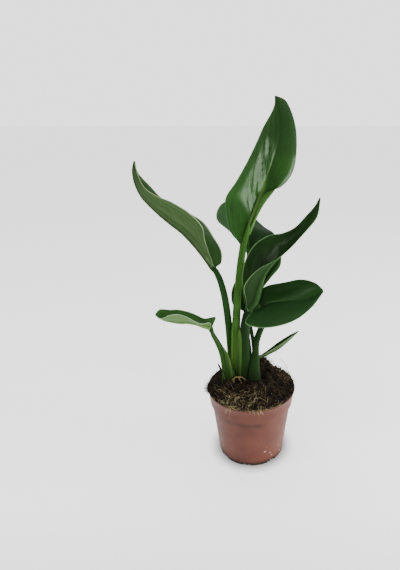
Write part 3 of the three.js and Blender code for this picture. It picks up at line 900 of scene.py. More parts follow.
LEAVES = [
    Leaf(
        "leaf_tall", Grown.UPRIGHT, pleats=(0.5, 0.1), climb=65.0, curl=22.0,
        wax=(28, 129),
        foot=(6.8, 4.2, 60), neck=(6.2, 4.6), sag=(1.6, 0), wave=((0.8, 2.5, 0.1), (0.5, 2, 0.6)),
        stalk=[[-21.6, 8.5, 108], [-21.4, 9, 133], [-20.8, 10, 167], [-19.6, 12, 201],
               [-17.3, 15, 236], [-13.8, 18, 270], [-10.6, 20, 292]],
        rib=[[-10, 20, 298], [-6, 22, 314], [0, 25, 330], [7, 28, 349], [13, 31, 366],
             [20, 34, 382], [27, 36, 401], [32, 37, 422], [34, 36, 445], [32, 33, 460],
             [28, 28, 471]],
        left=[[-13, 19, 298], [-25, 13, 313], [-30, 10, 333], [-31, 12, 356], [-18, 18, 376],
              [-5, 24, 398], [6, 29, 419], [15, 32, 438], [23, 33, 452], [27, 31, 462],
              [27, 28, 471]],
        right=[[-8, 19, 299], [-2, 19, 316], [5, 19, 334], [11, 20, 351], [20, 23, 362],
               [38, 31, 368], [52, 42, 384], [56, 46, 410], [53, 44, 439], [42, 37, 464],
               [29, 28, 471]],
        right_fold=[[-9, 19, 299], [-1, 20.5, 319], [8, 22, 336], [17, 24, 349.5], [27, 27, 363],
                    [32, 29.5, 375], [41, 35, 392], [46, 38, 415], [46, 37, 441], [38, 33, 462],
                    [28, 28, 471]],
    ),
    Leaf(
        "leaf_long_left", Grown.PALE,
        foot=(5.2, 4.2, 40), neck=(5.2, 4.6), sag=(2, 2.5), wave=((1, 1.6, 0.2), (1, 1.6, 0.2)),
        stalk=[[-28.2, 18.5, 108], [-28.2, 18.5, 134], [-29.2, 17.5, 158], [-30.7, 13, 189],
               [-34, 6, 227], [-39, 2, 253], [-44, 0, 267]],
        rib=[[-46, 0, 272], [-55, -2, 287], [-67, -4, 304], [-81, -6, 320], [-98, -9, 335],
             [-112, -12, 349], [-124, -14, 363], [-130, -16, 377], [-132, -17, 391],
             [-130, -17, 403]],
        left=[[-47, -2, 276], [-52, -10, 296], [-55, -14, 312], [-57, -15, 329], [-71, -17, 345],
              [-90, -20, 357], [-106, -22, 364], [-119, -23, 374], [-126, -21, 389],
              [-129, -17, 403]],
        right=[[-44, 3, 272], [-38, 10, 276], [-38, 16, 290], [-46, 16, 307], [-59, 12, 328],
               [-85, 8, 344], [-106, 4, 357], [-118, -1, 373], [-128, -9, 389],
               [-129, -16, 403]],
    ),
    Leaf(
        "leaf_arching_right", Grown.SHADED,
        foot=(7.9, 4.2, 120), neck=(7.7, 4.6), sag=(3, 2), wave=((1, 1.5, 0.2), (1.2, 2.2, 0.6)),
        stalk=[[-9.3, 2, 108], [-9.3, 2, 137], [-9, 2.5, 168], [-9, 3.5, 190], [-7, 4, 206]],
        rib=[[-4, 3, 213], [5, 0, 227], [9, -2, 245], [14, -4, 263], [23, -6, 279],
             [36, -7, 293], [48, -8, 306], [59, -8, 319], [69, -6, 333], [77, -3, 346],
             [82, 1, 359]],
        left=[[-7, 5, 214], [-10, 4, 237], [-11, 3, 263], [-7, 2, 284], [3, 0, 302],
              [20, -2, 314], [38, -3, 317], [53, -3, 324], [65, -1, 337], [75, 0, 349],
              [81, 1, 360]],
        right=[[-5, 0, 214], [-7, -8, 231], [-9, -15, 251], [-1, -22, 267], [11, -27, 281],
               [27, -28, 291], [42, -26, 302], [54, -21, 312], [67, -15, 325], [78, -8, 339],
               [82, 1, 359]],
    ),
    Leaf(
        "leaf_broad_right", Grown.BROAD,
        foot=(8.8, 3.2, 46), neck=(4.7, 4.4), sag=(-1, -2.5), wave=((1, 1.6, 0.2), (1, 1.6, 0.6)),
        stalk=[[4.9, -3.5, 108], [4.1, -3, 127], [5.6, 3.5, 145], [6.8, 7, 163], [10.8, 8, 177],
               [15, 8, 189], [16, 7, 203]],
        rib=[[14, 4, 214], [18, 1, 219], [24, -2, 225], [34, -5, 229], [48, -8, 232],
             [64, -10, 234], [79, -10, 238], [91, -8, 244]],
        left=[[12, 6, 216], [9, 11, 226], [12, 15, 236], [22, 17, 242], [43, 14, 247],
              [64, 9, 253], [81, 0, 252], [91, -8, 245]],
        right=[[12, 0, 215], [-2, -10, 213], [-7, -15, 202], [11, -18, 197], [35, -20, 201],
               [58, -20, 211], [77, -17, 227], [91, -8, 243]],
    ),
    Leaf(
        "leaf_back_left", Grown.DUSTY,
        foot=(4.4, 4, 40), neck=(3.4, 3), sag=(2.5, 2.5), wave=((1, 1.5, 0.2), (1, 1.5, 0.6)),
        stalk=[[-5, 26, 108], [-5, 23, 142], [-5, 20, 175], [-5, 18, 213], [-4, 19, 249],
               [-3, 23, 272]],
        rib=[[-3, 27, 282], [-3, 34, 295], [-6, 46, 309], [-9, 62, 322], [-13, 78, 334],
             [-15, 90, 345]],
        left=[[-6, 27, 283], [-26, 27, 310], [-44, 38, 325], [-43, 62, 336], [-31, 80, 342],
              [-16, 90, 345]],
        right=[[0, 27, 283], [16, 28, 295], [30, 38, 304], [16, 60, 311], [0, 79, 325],
               [-14, 90, 345]],
    ),
    Leaf(
        "leaf_back_middle", Grown.SHADED,
        foot=(4, 3.6, 40), neck=(3, 2.5), sag=(1.5, 1.5), wave=((0.8, 1.5, 0.2), (0.8, 1.5, 0.6)),
        stalk=[[4.5, 34, 108], [4, 33, 137], [0.5, 31, 166], [-4, 29, 189]],
        rib=[[-8, 28, 200], [-4, 30, 216], [4, 32, 233], [16, 34, 250], [28, 35, 265],
             [39, 36, 278]],
        left=[[-11, 28, 200], [-25, 27, 210], [-26, 30, 231], [-14, 33, 252], [8, 35, 268],
              [38, 36, 279]],
        right=[[0, 27, 196], [12, 25, 200], [13, 26, 228], [25, 28, 247], [38, 31, 263],
               [40, 36, 278]],
    ),
    Leaf(
        "leaf_small_left", Grown.YOUNG,
        foot=(8.6, 3, 64), neck=(3.6, 3.2), sag=(1.2, 1.2), wave=((0.6, 1.5, 0.2), (0.8, 1.5, 0.6)),
        stalk=[[-28.5, 0, 108], [-32.8, 1, 126], [-38.4, 2, 148], [-45, 2, 165], [-51, 1, 178]],
        rib=[[-55, 1, 188], [-59, 0, 190], [-65, -1, 193], [-72, -2, 196], [-83, -3, 198],
             [-93, -4, 198], [-104, -5, 200], [-114, -6, 203], [-124, -6, 210]],
        left=[[-53, -2, 191], [-54, -5, 198], [-64, -9, 199], [-73, -11, 204], [-83, -13, 211],
              [-94, -14, 214], [-105, -13, 212], [-116, -11, 207], [-124, -7, 210]],
        right=[[-51, 2, 190], [-47, 7, 201], [-62, 9, 198], [-73, 10, 202], [-85, 10, 207],
               [-97, 9, 211], [-107, 7, 212], [-119, 3, 214], [-124, -5, 211]],
    ),
    Leaf(
        "leaf_small_right", Grown.PALE, slot="leaf_young",
        foot=(2.8, 2.4, 20), neck=(2, 1.6), sag=(0.5, 0.5), wave=((0, 1.5, 0.2), (0, 1.5, 0.6)),
        stalk=[[10, 18, 108], [10, 19, 122]],
        rib=[[11, 20, 132], [23, 21, 137], [38, 22, 145], [52, 22, 158], [66, 22, 173]],
        left=[[10, 22, 132], [24, 26, 141], [38, 28, 152], [53, 26, 164], [66, 23, 173]],
        right=[[12, 17, 135], [24, 15, 144], [38, 15, 154], [52, 17, 164], [66, 21, 173]],
    ),
]


@dataclass(frozen=True)
class PotPlastic:
    """Thin terracotta plastic: satin, a little faded, dirty at the foot, with a painted shadow under
    the collar.
    """

    body: str = "#532d24"
    faded: str = "#603529"
    # the colour of the dirt and of the painted shadow under the collar
    dirt_and_shadow: str = "#2a1f18"
    fleck: str = "#d8c9bb"
    roughness: float = 0.42
    grime_line: tuple[float, float] = (0.0036, 0.007)
    collar_shadow_height: float = 0.0725
    band_pitch: float = 0.0011

    def material(self) -> bpy.types.Material:
        """Builds the pot's finish, with faint moulding bands, scuffs, specks of soil and a painted
        shadow under the collar.

        Returns:
            The material.
        """
        s = Shader("pot_plastic")
        colour = s.blend(s.span(s.cloud(38.0), 0.35, 0.7), tint(self.body), tint(self.faded))
        # blends in dirt at the foot and in specks, and the painted shadow under the collar
        colour = s.blend(self.dirt_and_collar_shadow(s), colour, tint(self.dirt_and_shadow))
        chalk = s.span(s.cloud(300.0, 1.0), 0.7, 0.74)
        where = s.span(s.cloud(19.0, 1.0), 0.6, 0.64)
        s.coat(
            Base_Color=s.blend(s.sum("MULTIPLY", chalk, where), colour, tint(self.fleck)),
            Roughness=s.span(s.cloud(120.0), 0.3, 0.7, self.roughness, self.roughness + 0.12),
            Specular_IOR_Level=0.15,
        )
        bands = s.sum("SINE", s.sum("MULTIPLY", s.height(), TURN / self.band_pitch))
        s.relief(s.sum("ADD", s.cloud(160.0), s.sum("MULTIPLY", bands, 0.12)), 0.05, 0.5)
        return s.material

    def dirt_and_collar_shadow(self, s: Shader) -> bpy.types.NodeSocket:
        """Finds where soil clings, round the foot and in small specks, and the painted shadow under the
        collar.

        Args:
            s: The pot's shader.

        Returns:
            The share of soil and painted shadow at each place.
        """
        low = s.span(s.height(), *self.grime_line, 1.0, 0.0)
        grime = s.sum("MULTIPLY", low, s.span(s.cloud(70.0), 0.15, 0.4))
        # a patchy dark band a little below the collar: painted shadow
        from_collar = s.sum("ABSOLUTE", s.sum("SUBTRACT", s.height(), self.collar_shadow_height))
        collar_shadow = s.span(from_collar, 0.001, 0.006, 0.45, 0.0)
        collar_shadow = s.sum("MULTIPLY", collar_shadow, s.span(s.cloud(22.0, 3.0), 0.4, 0.56))
        specks = s.span(s.cloud(330.0, 2.0), 0.66, 0.7)
        some = s.span(s.cloud(30.0, 1.0), 0.55, 0.6)
        return s.sum("MAXIMUM", s.sum("MAXIMUM", grime, collar_shadow), s.sum("MULTIPLY", specks, some))


@dataclass(frozen=True)
class Pot:
    """The nursery pot with its collar, foot ring and drain slots."""

    height: float = 100
    rim_radius: float = 60
    collar_height: float = 21.5
    collar_foot_radius: float = 57
    body_top_radius: float = 54.6
    base_radius: float = 45.6
    wall: float = 1.4
    lip: float = 1.9
    lip_rounding: float = 0.5
    floor_top: float = 4.4
    floor_underside: float = 2.6
    pad_radius: float = 16
    sides: int = 144
    drain_count: int = 8
    drain_width: float = 12
    drain_height: float = 3.4
    drain_reach: float = 12
    drain_hole_radius: float = 4
    drain_hole_place: float = 36
    drain_rounding: float = 1.2
    drain_hole_sides: int = 24
    first_drain_angle: float = -math.pi / 2 - 0.14
    smooth_angle: float = 38

    def body_top(self) -> float:
        """Says where the body ends and the collar begins."""
        return self.height - self.collar_height

    def cavity_foot_radius(self) -> float:
        """Says how wide the inside is at the floor."""
        slope = (self.body_top_radius - self.base_radius) / self.body_top()
        return self.base_radius - self.wall + slope * self.floor_top

    def outline(self) -> Points:
        """Lists the wall's outline from the underside round to the floor.

        Returns:
            The radius and the height of each point.
        """
        top = self.body_top()
        rounding = self.lip_rounding
        return [
            [0, 0],
            [self.pad_radius, 0],
            [self.pad_radius + 1.5, self.floor_underside],
            [self.base_radius - 4.5, self.floor_underside],
            [self.base_radius - 2.6, 0.3],
            [self.base_radius - 2.2, 0],
            [self.base_radius - 0.7, 0],
            [self.base_radius - 0.2, 0.15],
            [self.base_radius + 0.05, 0.6],
            [self.base_radius + 2.2, 19.5],
            [self.base_radius + 6.6, 58.0],
            [self.body_top_radius, top - 1.0],
            [self.body_top_radius + 0.1, top - 0.3],
            [self.body_top_radius + 0.4, top],
            [self.collar_foot_radius - 0.5, top],
            [self.collar_foot_radius - 0.15, top + 0.3],
            [self.collar_foot_radius, top + 1.2],
            [self.collar_foot_radius + 1.2, top + 10.5],
            [self.rim_radius - rounding, self.height - 4.2 * rounding],
            [self.rim_radius - 0.2, self.height - 3.2 * rounding],
            [self.rim_radius, self.height - 2 * rounding],
            [self.rim_radius - 0.1, self.height - 0.9 * rounding],
            [self.rim_radius - rounding, self.height - 0.2 * rounding],
            [self.rim_radius - 1.9 * rounding, self.height],
            [self.rim_radius - self.lip, self.height],
            [self.collar_foot_radius - self.wall, top + 3],
            [self.body_top_radius - self.wall, top - 1],
            [self.cavity_foot_radius(), self.floor_top],
            [0, self.floor_top],
        ]

    def build(self) -> bpy.types.Object:
        """Spins the wall and cuts the drain slots and holes.

        Returns:
            The pot.
        """
        pot = spun("pot_shell", self.outline(), self.sides)
        for k in range(self.drain_count):
            angle = self.first_drain_angle + k * TURN / self.drain_count
            self.cut(pot, self.slot_cutter(angle))
            self.cut(pot, self.hole_cutter(angle))
        pick(pot)
        bpy.ops.object.shade_smooth_by_angle(angle=math.radians(self.smooth_angle))
        return pot

    def around(self, reach: float, angle: float) -> tuple[float, float, float]:
        """Finds the place on the ground at this reach and angle, in metres."""
        return (reach * MM * math.cos(angle), reach * MM * math.sin(angle), 0)

    def slot_cutter(self, angle: float) -> bpy.types.Object:
        """Makes the block that cuts one slot through the foot ring.

        Args:
            angle: Where the slot is.

        Returns:
            The block.
        """
        deselect()
        place = self.around(self.base_radius, angle)
        bpy.ops.mesh.primitive_cube_add(size=1, location=place, rotation=(0, 0, angle))
        block = bpy.context.object
        block.scale = (self.drain_reach * MM, self.drain_width * MM, 2 * self.drain_height * MM)
        bpy.ops.object.transform_apply(location=True, rotation=True, scale=True)
        bpy.ops.object.modifier_add(type="BEVEL")
        block.modifiers[-1].width = self.drain_rounding * MM
        block.modifiers[-1].segments = 3
        bpy.ops.object.modifier_apply(modifier=block.modifiers[-1].name)
        return block

    def hole_cutter(self, angle: float) -> bpy.types.Object:
        """Makes the rod that cuts one hole through the floor.

        Args:
            angle: Where the hole is.

        Returns:
            The rod.
        """
        deselect()
        bpy.ops.mesh.primitive_cylinder_add(
            vertices=self.drain_hole_sides, radius=self.drain_hole_radius * MM,
            depth=3 * self.floor_top * MM, location=self.around(self.drain_hole_place, angle),
        )
        bpy.ops.object.transform_apply(location=True, rotation=True, scale=True)
        return bpy.context.object

    def cut(self, pot: bpy.types.Object, cutter: bpy.types.Object) -> None:
        """Takes the cutter out of the pot and removes it.

        Args:
            pot: The pot.
            cutter: What is cut away.
        """
        pick(pot)
        bpy.ops.object.modifier_add(type="BOOLEAN")
        pot.modifiers[-1].operation = "DIFFERENCE"
        pot.modifiers[-1].solver = "EXACT"
        pot.modifiers[-1].object = cutter
        bpy.ops.object.modifier_apply(modifier=pot.modifiers[-1].name)
        bpy.data.objects.remove(cutter)

    def dress(self, piece: bpy.types.Object) -> None:
        """Gives the pot its plastic."""
        settle(piece, PotPlastic().material(), "pot_plastic", "pot")


@dataclass(frozen=True)
class Peat:
    """Dark damp peat with paler crumbs."""

    name: str = "peat"
    dark: str = "#090807"
    crumb: str = "#231d16"
    grain: float = 420.0

    def material(self) -> bpy.types.Material:
        """Builds the peat's finish.

        Returns:
            The material.
        """
        s = Shader(self.name)
        shade = s.span(s.sum("ADD", s.cloud(self.grain), s.cloud(90.0)), 0.85, 1.3)
        s.coat(
            Base_Color=s.blend(shade, tint(self.dark), tint(self.crumb)),
            Roughness=0.95,
            Specular_IOR_Level=0.15,
        )
        s.relief(s.cloud(900.0, 6.0), 0.5)
        return s.material


@dataclass(frozen=True)
class DryFibre:
    """Dry plant matter that changes from strand to strand."""

    name: str
    dark: str
    light: str

    def material(self) -> bpy.types.Material:
        """Builds the finish of one kind of dry matter.

        Returns:
            The material.
        """
        s = Shader(self.name)
        shade = s.span(s.cloud(130.0, 2.0), 0.35, 0.65)
        s.coat(
            Base_Color=s.blend(shade, tint(self.dark), tint(self.light)),
            Roughness=0.8,
            Specular_IOR_Level=0.25,
        )
        s.relief(s.cloud(2600.0, 2.0), 0.08)
        return s.material


@dataclass(frozen=True)
class Soil:
    """The heaped soil, which laps over the pot's lip."""

    edge_height: float = 99.2
    heap: float = 8
    shoulder: tuple[float, float, float, float] = (16, 44, 17, 8.5)
    mounds: tuple[tuple[float, float, float, float], ...] = ((-30, -8, 4.5, 6), (6, -13, 4, 6))
    relief: float = 0.9
    fine_relief: float = 0.54
    inner_radius: float = 58.1
    lap_radius: float = 59.5
    lap_raggedness: float = 0.7
    lap_width: float = 1.6
    lap_height: float = 100.25
    gap: float = 0.3
    sectors: int = 260
    rings: int = 66

    def level(self, x: float, y: float) -> float:
        """Finds the soil's height at a place, crumbs included.

        Args:
            x: The place from side to side, in millimetres.
            y: The place from front to back.

        Returns:
            The height above the ground.
        """
        rise = self.heap * (1 - (math.hypot(x, y) / self.inner_radius) ** 3)
        sx, sy, height, spread = self.shoulder
        bump = height * math.exp(-((x - sx) ** 2 + (y - sy) ** 2) / (2 * spread ** 2))
        for mx, my, high, wide in self.mounds:
            bump += high * math.exp(-((x - mx) ** 2 + (y - my) ** 2) / (2 * wide ** 2))
        wave = self.relief * math.sin(x / 3.1 + 1) * math.sin(y / 3.7)
        wave += self.fine_relief * math.sin(x / 1.9 + y / 2.3)
        clods = noise.fractal(Vector((x / 4.2, y / 4.2, 3.0)), 1.0, 2.1, 5)
        lumps = noise.noise(Vector((x / 9.0, y / 9.0, 8.0)))
        return self.edge_height + rise + bump + wave + 1.3 * clods + 1.2 * lumps

    def top(self, x: float, y: float) -> float:
        """Finds the height of the surface that shows, never below the lip that it covers."""
        return max(self.level(x, y), self.lap_height + 0.4 + 0.5 * noise.noise(Vector((x, y, 0))))

    def build(self, pot: Pot) -> bpy.types.Object:
        """Fills the pot and lays the heaped surface.

        Args:
            pot: The pot that holds it.

        Returns:
            The soil, which laps a little over the lip.
        """
        angles = np.arange(self.sectors) / self.sectors * TURN
        around = np.c_[np.cos(angles), np.sin(angles)]
        ragged = np.array([noise.noise(Vector((3 * c, 3 * s, 5.0))) for c, s in around * 6])
        lap = self.lap_radius + self.lap_raggedness * ragged[:, None]
        walls = [
            (pot.cavity_foot_radius() - self.gap, pot.floor_top + self.gap),
            (pot.body_top_radius - pot.wall - self.gap, pot.body_top() - 0.5),
            (pot.collar_foot_radius - pot.wall - self.gap, pot.body_top() + 3.5),
            (self.inner_radius - 2 * self.gap, self.lap_height - 0.9),
            (lap - self.lap_width, self.lap_height),
            (lap, self.lap_height),
        ]
        rings = [np.c_[around * radius, np.full(self.sectors, height)] for radius, height in walls]
        for k in range(self.rings, -1, -1):
            flat = around * (lap * max(k, 0.15) / self.rings)
            heights = [self.top(x, y) for x, y in flat]
            rings.append(np.c_[flat, heights])
        return wrapped("soil_heap", np.array(rings), {})

    def dress(self, piece: bpy.types.Object) -> None:
        """Gives the soil its peat."""
        settle(piece, Peat().material(), "potting_soil", "soil")


@dataclass(frozen=True)
class Spread:
    """How far from the middle a bed reaches, and the angles that it takes in."""

    inner: float
    outer: float
    angle: tuple[float, float] = (0.0, TURN)
    bell: bool = False
    even: bool = False


BEDS = {
    Bed.ALL: Spread(0, 58.5, even=True),
    Bed.FRONT: Spread(34, 58, (-1.95, 0.38), bell=True),
    Bed.RIM: Spread(56.5, 60.3),
    Bed.SPILL: Spread(58.5, 61.0, (-1.45, 0.45), bell=True),
    Bed.SHOULDER: Spread(38, 58, (0.0, 1.35)),
    Bed.LEFT_RIM: Spread(55, 60, (-2.95, 0.14), bell=True),
}


@dataclass
class Litter:
    """What lies on the soil: crumbs, fibres, straws, white grains and hair roots."""

    soil: Soil
    draw: random.Random

    STEPS = 6
    HANGING_STEPS = 7
    KEPT_WITHIN = 60.6
    LIP_REACH = 61
    TURNS_DOWN_AT = 61.2
    LONG_HAIR = ((41, 28, 126), (45.5, 28, 121), (50, 28, 113), (55, 28, 99.5))
    LONG_HAIR_POINTS = 14

    def spot(self, bed: Bed) -> tuple[float, float]:
        """Draws a place on the soil.

        Args:
            bed: Where on the soil it lies.

        Returns:
            The place from side to side and from front to back, in millimetres.
        """
        where = BEDS[bed]
        if where.even:
            radius = where.outer * math.sqrt(self.draw.random())
        else:
            radius = self.draw.uniform(where.inner, where.outer)
        turn = self.draw.gauss if where.bell else self.draw.uniform
        angle = turn(*where.angle)
        return radius * math.cos(angle), radius * math.sin(angle)

    def crumbs(self, name: str, count: int, bed: Bed, size: tuple[float, float]) -> bpy.types.Object:
        """Strews uneven grains, half sunk in the surface.

        Args:
            name: The name of the piece.
            count: How many there are.
            bed: Where they lie.
            size: The smallest and the largest radius, in millimetres.

        Returns:
            The grains in one piece.
        """
        deselect()
        bpy.ops.mesh.primitive_ico_sphere_add(subdivisions=2, radius=MM)
        grain = bpy.context.object
        for vertex in grain.data.vertices:
            away = vertex.co.normalized()
            vertex.co *= 1 + 0.42 * noise.noise(away * 1.7 + Vector((0, 0, count)))
        places = []
        for _ in range(count):
            x, y = self.spot(bed)
            radius = size[0] + (size[1] - size[0]) * self.draw.random() ** 2.2
            turn = Euler([self.draw.uniform(0, TURN) for _ in range(3)]).to_matrix().to_4x4()
            squash = [radius * self.draw.uniform(0.65, 1.15) for _ in range(3)]
            at = Vector((x, y, self.soil.top(x, y) + 0.25 * radius)) * MM
            places.append(Matrix.Translation(at) @ turn @ Matrix.Diagonal((*squash, 1)))
        return strewn(name, grain, places)

    def drain_soil(self, name: str, pot: Pot, count: int) -> bpy.types.Object:
        """Packs crumbs into the drain slots, between the pot's floor and the ground.

        Args:
            name: The name of the piece.
            pot: The pot whose slots they fill.
            count: How many lie in each slot.

        Returns:
            The crumbs in one piece.
        """
        deselect()
        bpy.ops.mesh.primitive_ico_sphere_add(subdivisions=1, radius=MM)
        grain = bpy.context.object
        places = []
        for k in range(pot.drain_count * count):
            angle = pot.first_drain_angle + (k % pot.drain_count) * TURN / pot.drain_count
            angle += self.draw.uniform(-0.12, 0.12)
            away, radius = self.draw.uniform(39.0, 44.6), self.draw.uniform(0.5, 1.0)
            at = Vector((away * math.cos(angle), away * math.sin(angle), self.draw.uniform(1.0, 1.5)))
            places.append(Matrix.Translation(at * MM) @ Matrix.Scale(radius, 4))
        return strewn(name, grain, places)

    def fibres(
        self, name: str, count: int, bed: Bed, length: tuple[float, float], radius: float,
        bend: float = 0.8,
    ) -> bpy.types.Object:
        """Lays thin strands that arch a little off the surface.

        Args:
            name: The name of the piece.
            count: How many there are.
            bed: Where they lie.
            length: The shortest and the longest, in millimetres.
            radius: The radius of the thickest.
            bend: How much they curve, in radians from end to end.

        Returns:
            The strands in one piece.
        """
        paths, radii = [], []
        for _ in range(count):
            x, y = self.spot(bed)
            reach = self.draw.uniform(*length)
            heading, curl = self.draw.uniform(0, TURN), self.draw.gauss(0, bend)
            arch = self.draw.uniform(0.02, 0.16) * reach
            points = []
            for k in range(self.STEPS + 1):
                t = k / self.STEPS
                turn = heading + curl * (t - 0.5)
                x += reach / self.STEPS * math.cos(turn)
                y += reach / self.STEPS * math.sin(turn)
                far = math.hypot(x, y)
                if far > self.KEPT_WITHIN:
                    x, y = x * self.KEPT_WITHIN / far, y * self.KEPT_WITHIN / far
                height = self.soil.top(x, y) + arch * math.sin(math.pi * t) + 0.15
                points.append([x, y, height])
            paths.append(np.array(points))
            thick = radius * self.draw.uniform(0.5, 1.0)
            from_middle = 2 * np.arange(self.STEPS + 1) / self.STEPS - 1
            radii.append(thick * (1 - 0.6 * from_middle ** 2))
        return strands(name, paths, radii)

    def hairs(
        self, name: str, count: int, bed: Bed, length: tuple[float, float], radius: float
    ) -> bpy.types.Object:
        """Lets thin hairs stand up from the surface and droop outwards.

        Args:
            name: The name of the piece.
            count: How many there are.
            bed: Where they stand.
            length: The shortest and the longest, in millimetres.
            radius: The radius at their foot.

        Returns:
            The hairs in one piece.
        """
        paths, radii = [], []
        for _ in range(count):
            x, y = self.spot(bed)
            reach = self.draw.uniform(*length)
            heading = math.atan2(y, x) + self.draw.gauss(0, 0.9)
            rise, droop = self.draw.uniform(0.2, 1.1), self.draw.uniform(0.2, 1.4)
            point = np.array([x, y, self.soil.top(x, y) - 0.5])
            points = [point]
            for k in range(self.STEPS):
                slope = rise - droop * k / self.STEPS
                heading += self.draw.gauss(0, 0.15)
                level = math.cos(slope)
                step = [level * math.cos(heading), level * math.sin(heading), math.sin(slope)]
                point = point + reach / self.STEPS * np.array(step)
                points.append(point)
            paths.append(np.array(points))
            thick = radius * self.draw.uniform(0.6, 1.0)
            radii.append(thick * np.linspace(1.0, 0.45, self.STEPS + 1))
        return strands(name, paths, radii)

    def overhang(self, name: str, count: int, radius: float) -> bpy.types.Object:
        """Hangs dry straws over the front of the pot's lip.

        Args:
            name: The name of the piece.
            count: How many there are.
            radius: The radius of the thickest.

        Returns:
            The straws in one piece.
        """
        paths, radii = [], []
        for _ in range(count):
            angle, start = self.draw.gauss(-1.55, 0.26), self.draw.uniform(53, 59.5)
            steep, lean = self.draw.uniform(0.5, 1.0), self.draw.gauss(0, 0.5)
            length = self.LIP_REACH - start + 13 * self.draw.random() ** 2
            points = []
            for along in np.linspace(0, length, self.HANGING_STEPS + 1):
                past = max(0.0, along - (self.TURNS_DOWN_AT - start))
                away = start + along - past + 0.25 * past
                turn = angle + lean * along / self.LIP_REACH
                x, y = away * math.cos(turn), away * math.sin(turn)
                points.append([x, y, self.soil.top(x, y) + 0.6 - steep * past])
            paths.append(np.array(points))
            taper = np.linspace(1.0, 0.6, self.HANGING_STEPS + 1)
            radii.append(radius * self.draw.uniform(0.6, 1.0) * taper)
        return strands(name, paths, radii)

    def long_hair(self, name: str) -> bpy.types.Object:
        """Draws the one long hair that stands off the shoulder of the heap.

        Args:
            name: The name of the piece.

        Returns:
            The hair.
        """
        places = np.linspace(0, len(self.LONG_HAIR) - 1, self.LONG_HAIR_POINTS)
        line = spline(np.array(self.LONG_HAIR, float), places)
        return strands(name, [line], [np.linspace(0.25, 0.4, self.LONG_HAIR_POINTS)])

    def scatter(self, pot: Pot) -> None:
        """Builds and dresses all the small pieces, in the order of their random draws.

        Args:
            pot: The pot whose slots some of the soil fills.
        """
        peat = Peat("peat_crumbs", "#0e0c0a", "#332a21", 700.0).material()
        brown = DryFibre("fibre_brown", "#20170f", "#5f4c30").material()
        dark = DryFibre("hair_dark", "#17110d", "#3a2c20").material()
        straw = DryFibre("fibre_straw", "#69593a", "#cabb8c").material()
        white = DryFibre("white_grain", "#a9a395", "#e4e0d4").material()
        settle(self.crumbs("soil_crumbs", 1300, Bed.ALL, (0.5, 2.3)), peat, "potting_soil")
        settle(self.drain_soil("drain_soil", pot, 60), peat, "potting_soil")
        settle(self.crumbs("rim_crumbs", 260, Bed.RIM, (0.4, 1.5)), peat, "potting_soil")
        settle(self.crumbs("white_grains", 34, Bed.ALL, (0.35, 0.9)), white, "potting_soil")
        settle(self.fibres("coir_fibres", 1200, Bed.ALL, (5, 20), 0.18), brown, "root")
        settle(self.fibres("straw_bed", 120, Bed.FRONT, (7, 22), 0.2, 0.3), straw, "root")
        settle(self.fibres("rim_straws", 50, Bed.SPILL, (5, 14), 0.18, 0.3), straw, "root")
        settle(self.hairs("bold_straws", 34, Bed.FRONT, (6, 12), 0.3), straw, "root")
        settle(self.hairs("shoulder_hairs", 260, Bed.SHOULDER, (5, 13), 0.2), brown, "root")
        settle(self.hairs("rim_hairs", 40, Bed.SHOULDER, (7, 14), 0.2), straw, "root")
        settle(self.hairs("left_tuft", 190, Bed.LEFT_RIM, (4, 10), 0.25), dark, "root")
        settle(self.crumbs("left_spill", 90, Bed.LEFT_RIM, (0.4, 1.5)), peat, "potting_soil")
        settle(self.overhang("hanging_straws", 30, 0.26), straw, "root")
        settle(self.long_hair("long_hair"), dark, "root")


@dataclass(frozen=True)
class Scale:
    """A leftover sheath that wraps a stalk, most of them at the foot of the clump."""

    name: str
    grown: Grown
    path: Points
    half_width: float
    cupping: float = 0.5
    thickness: float = 0.7
    rows: int = 40
    columns: int = 11

    def build(self) -> bpy.types.Object:
        """Lays out the scale as a closed thin shell that narrows to its tip.

        Returns:
            The scale.
        """
        places = np.linspace(0, len(self.path) - 1, self.rows)
        path = np.array(self.path, float)
        line, forward = spline(path, places), tangents(path, places)
        share = places / places[-1]
        half = self.half_width * (1 - share ** 3) ** 0.7 + 0.25
        sideways = unit(np.cross(forward, FRONT))
        outward = np.cross(sideways, forward)
        across = np.linspace(-1, 1, self.columns)
        sheet = line[:, None] + (half[:, None] * across)[..., None] * sideways[:, None]
        sheet = sheet - (self.cupping * half[:, None] * across ** 2)[..., None] * outward[:, None]
        shell = self.thickness / 2 * outward[:, None]
        length = np.r_[0, np.cumsum(np.linalg.norm(np.diff(line, axis=0), axis=1))] * MM
        both = np.tile(np.r_[across, across[::-1]], (self.rows, 1))
        margin = (np.abs(both) > 0.9).astype(float)
        marks = {
            "across": both,
            "vein": np.tile(length[:, None], (1, 2 * self.columns)),
            "margin": margin,
            "stalk": 1 - 0.6 * margin,
        }
        return wrapped(self.name, faces(sheet + shell, sheet - shell), marks)

    def dress(self, piece: bpy.types.Object, finish: bpy.types.Material) -> None:
        """Gives the scale the green of its leaf."""
        settle(piece, finish, SLOTS[self.grown])


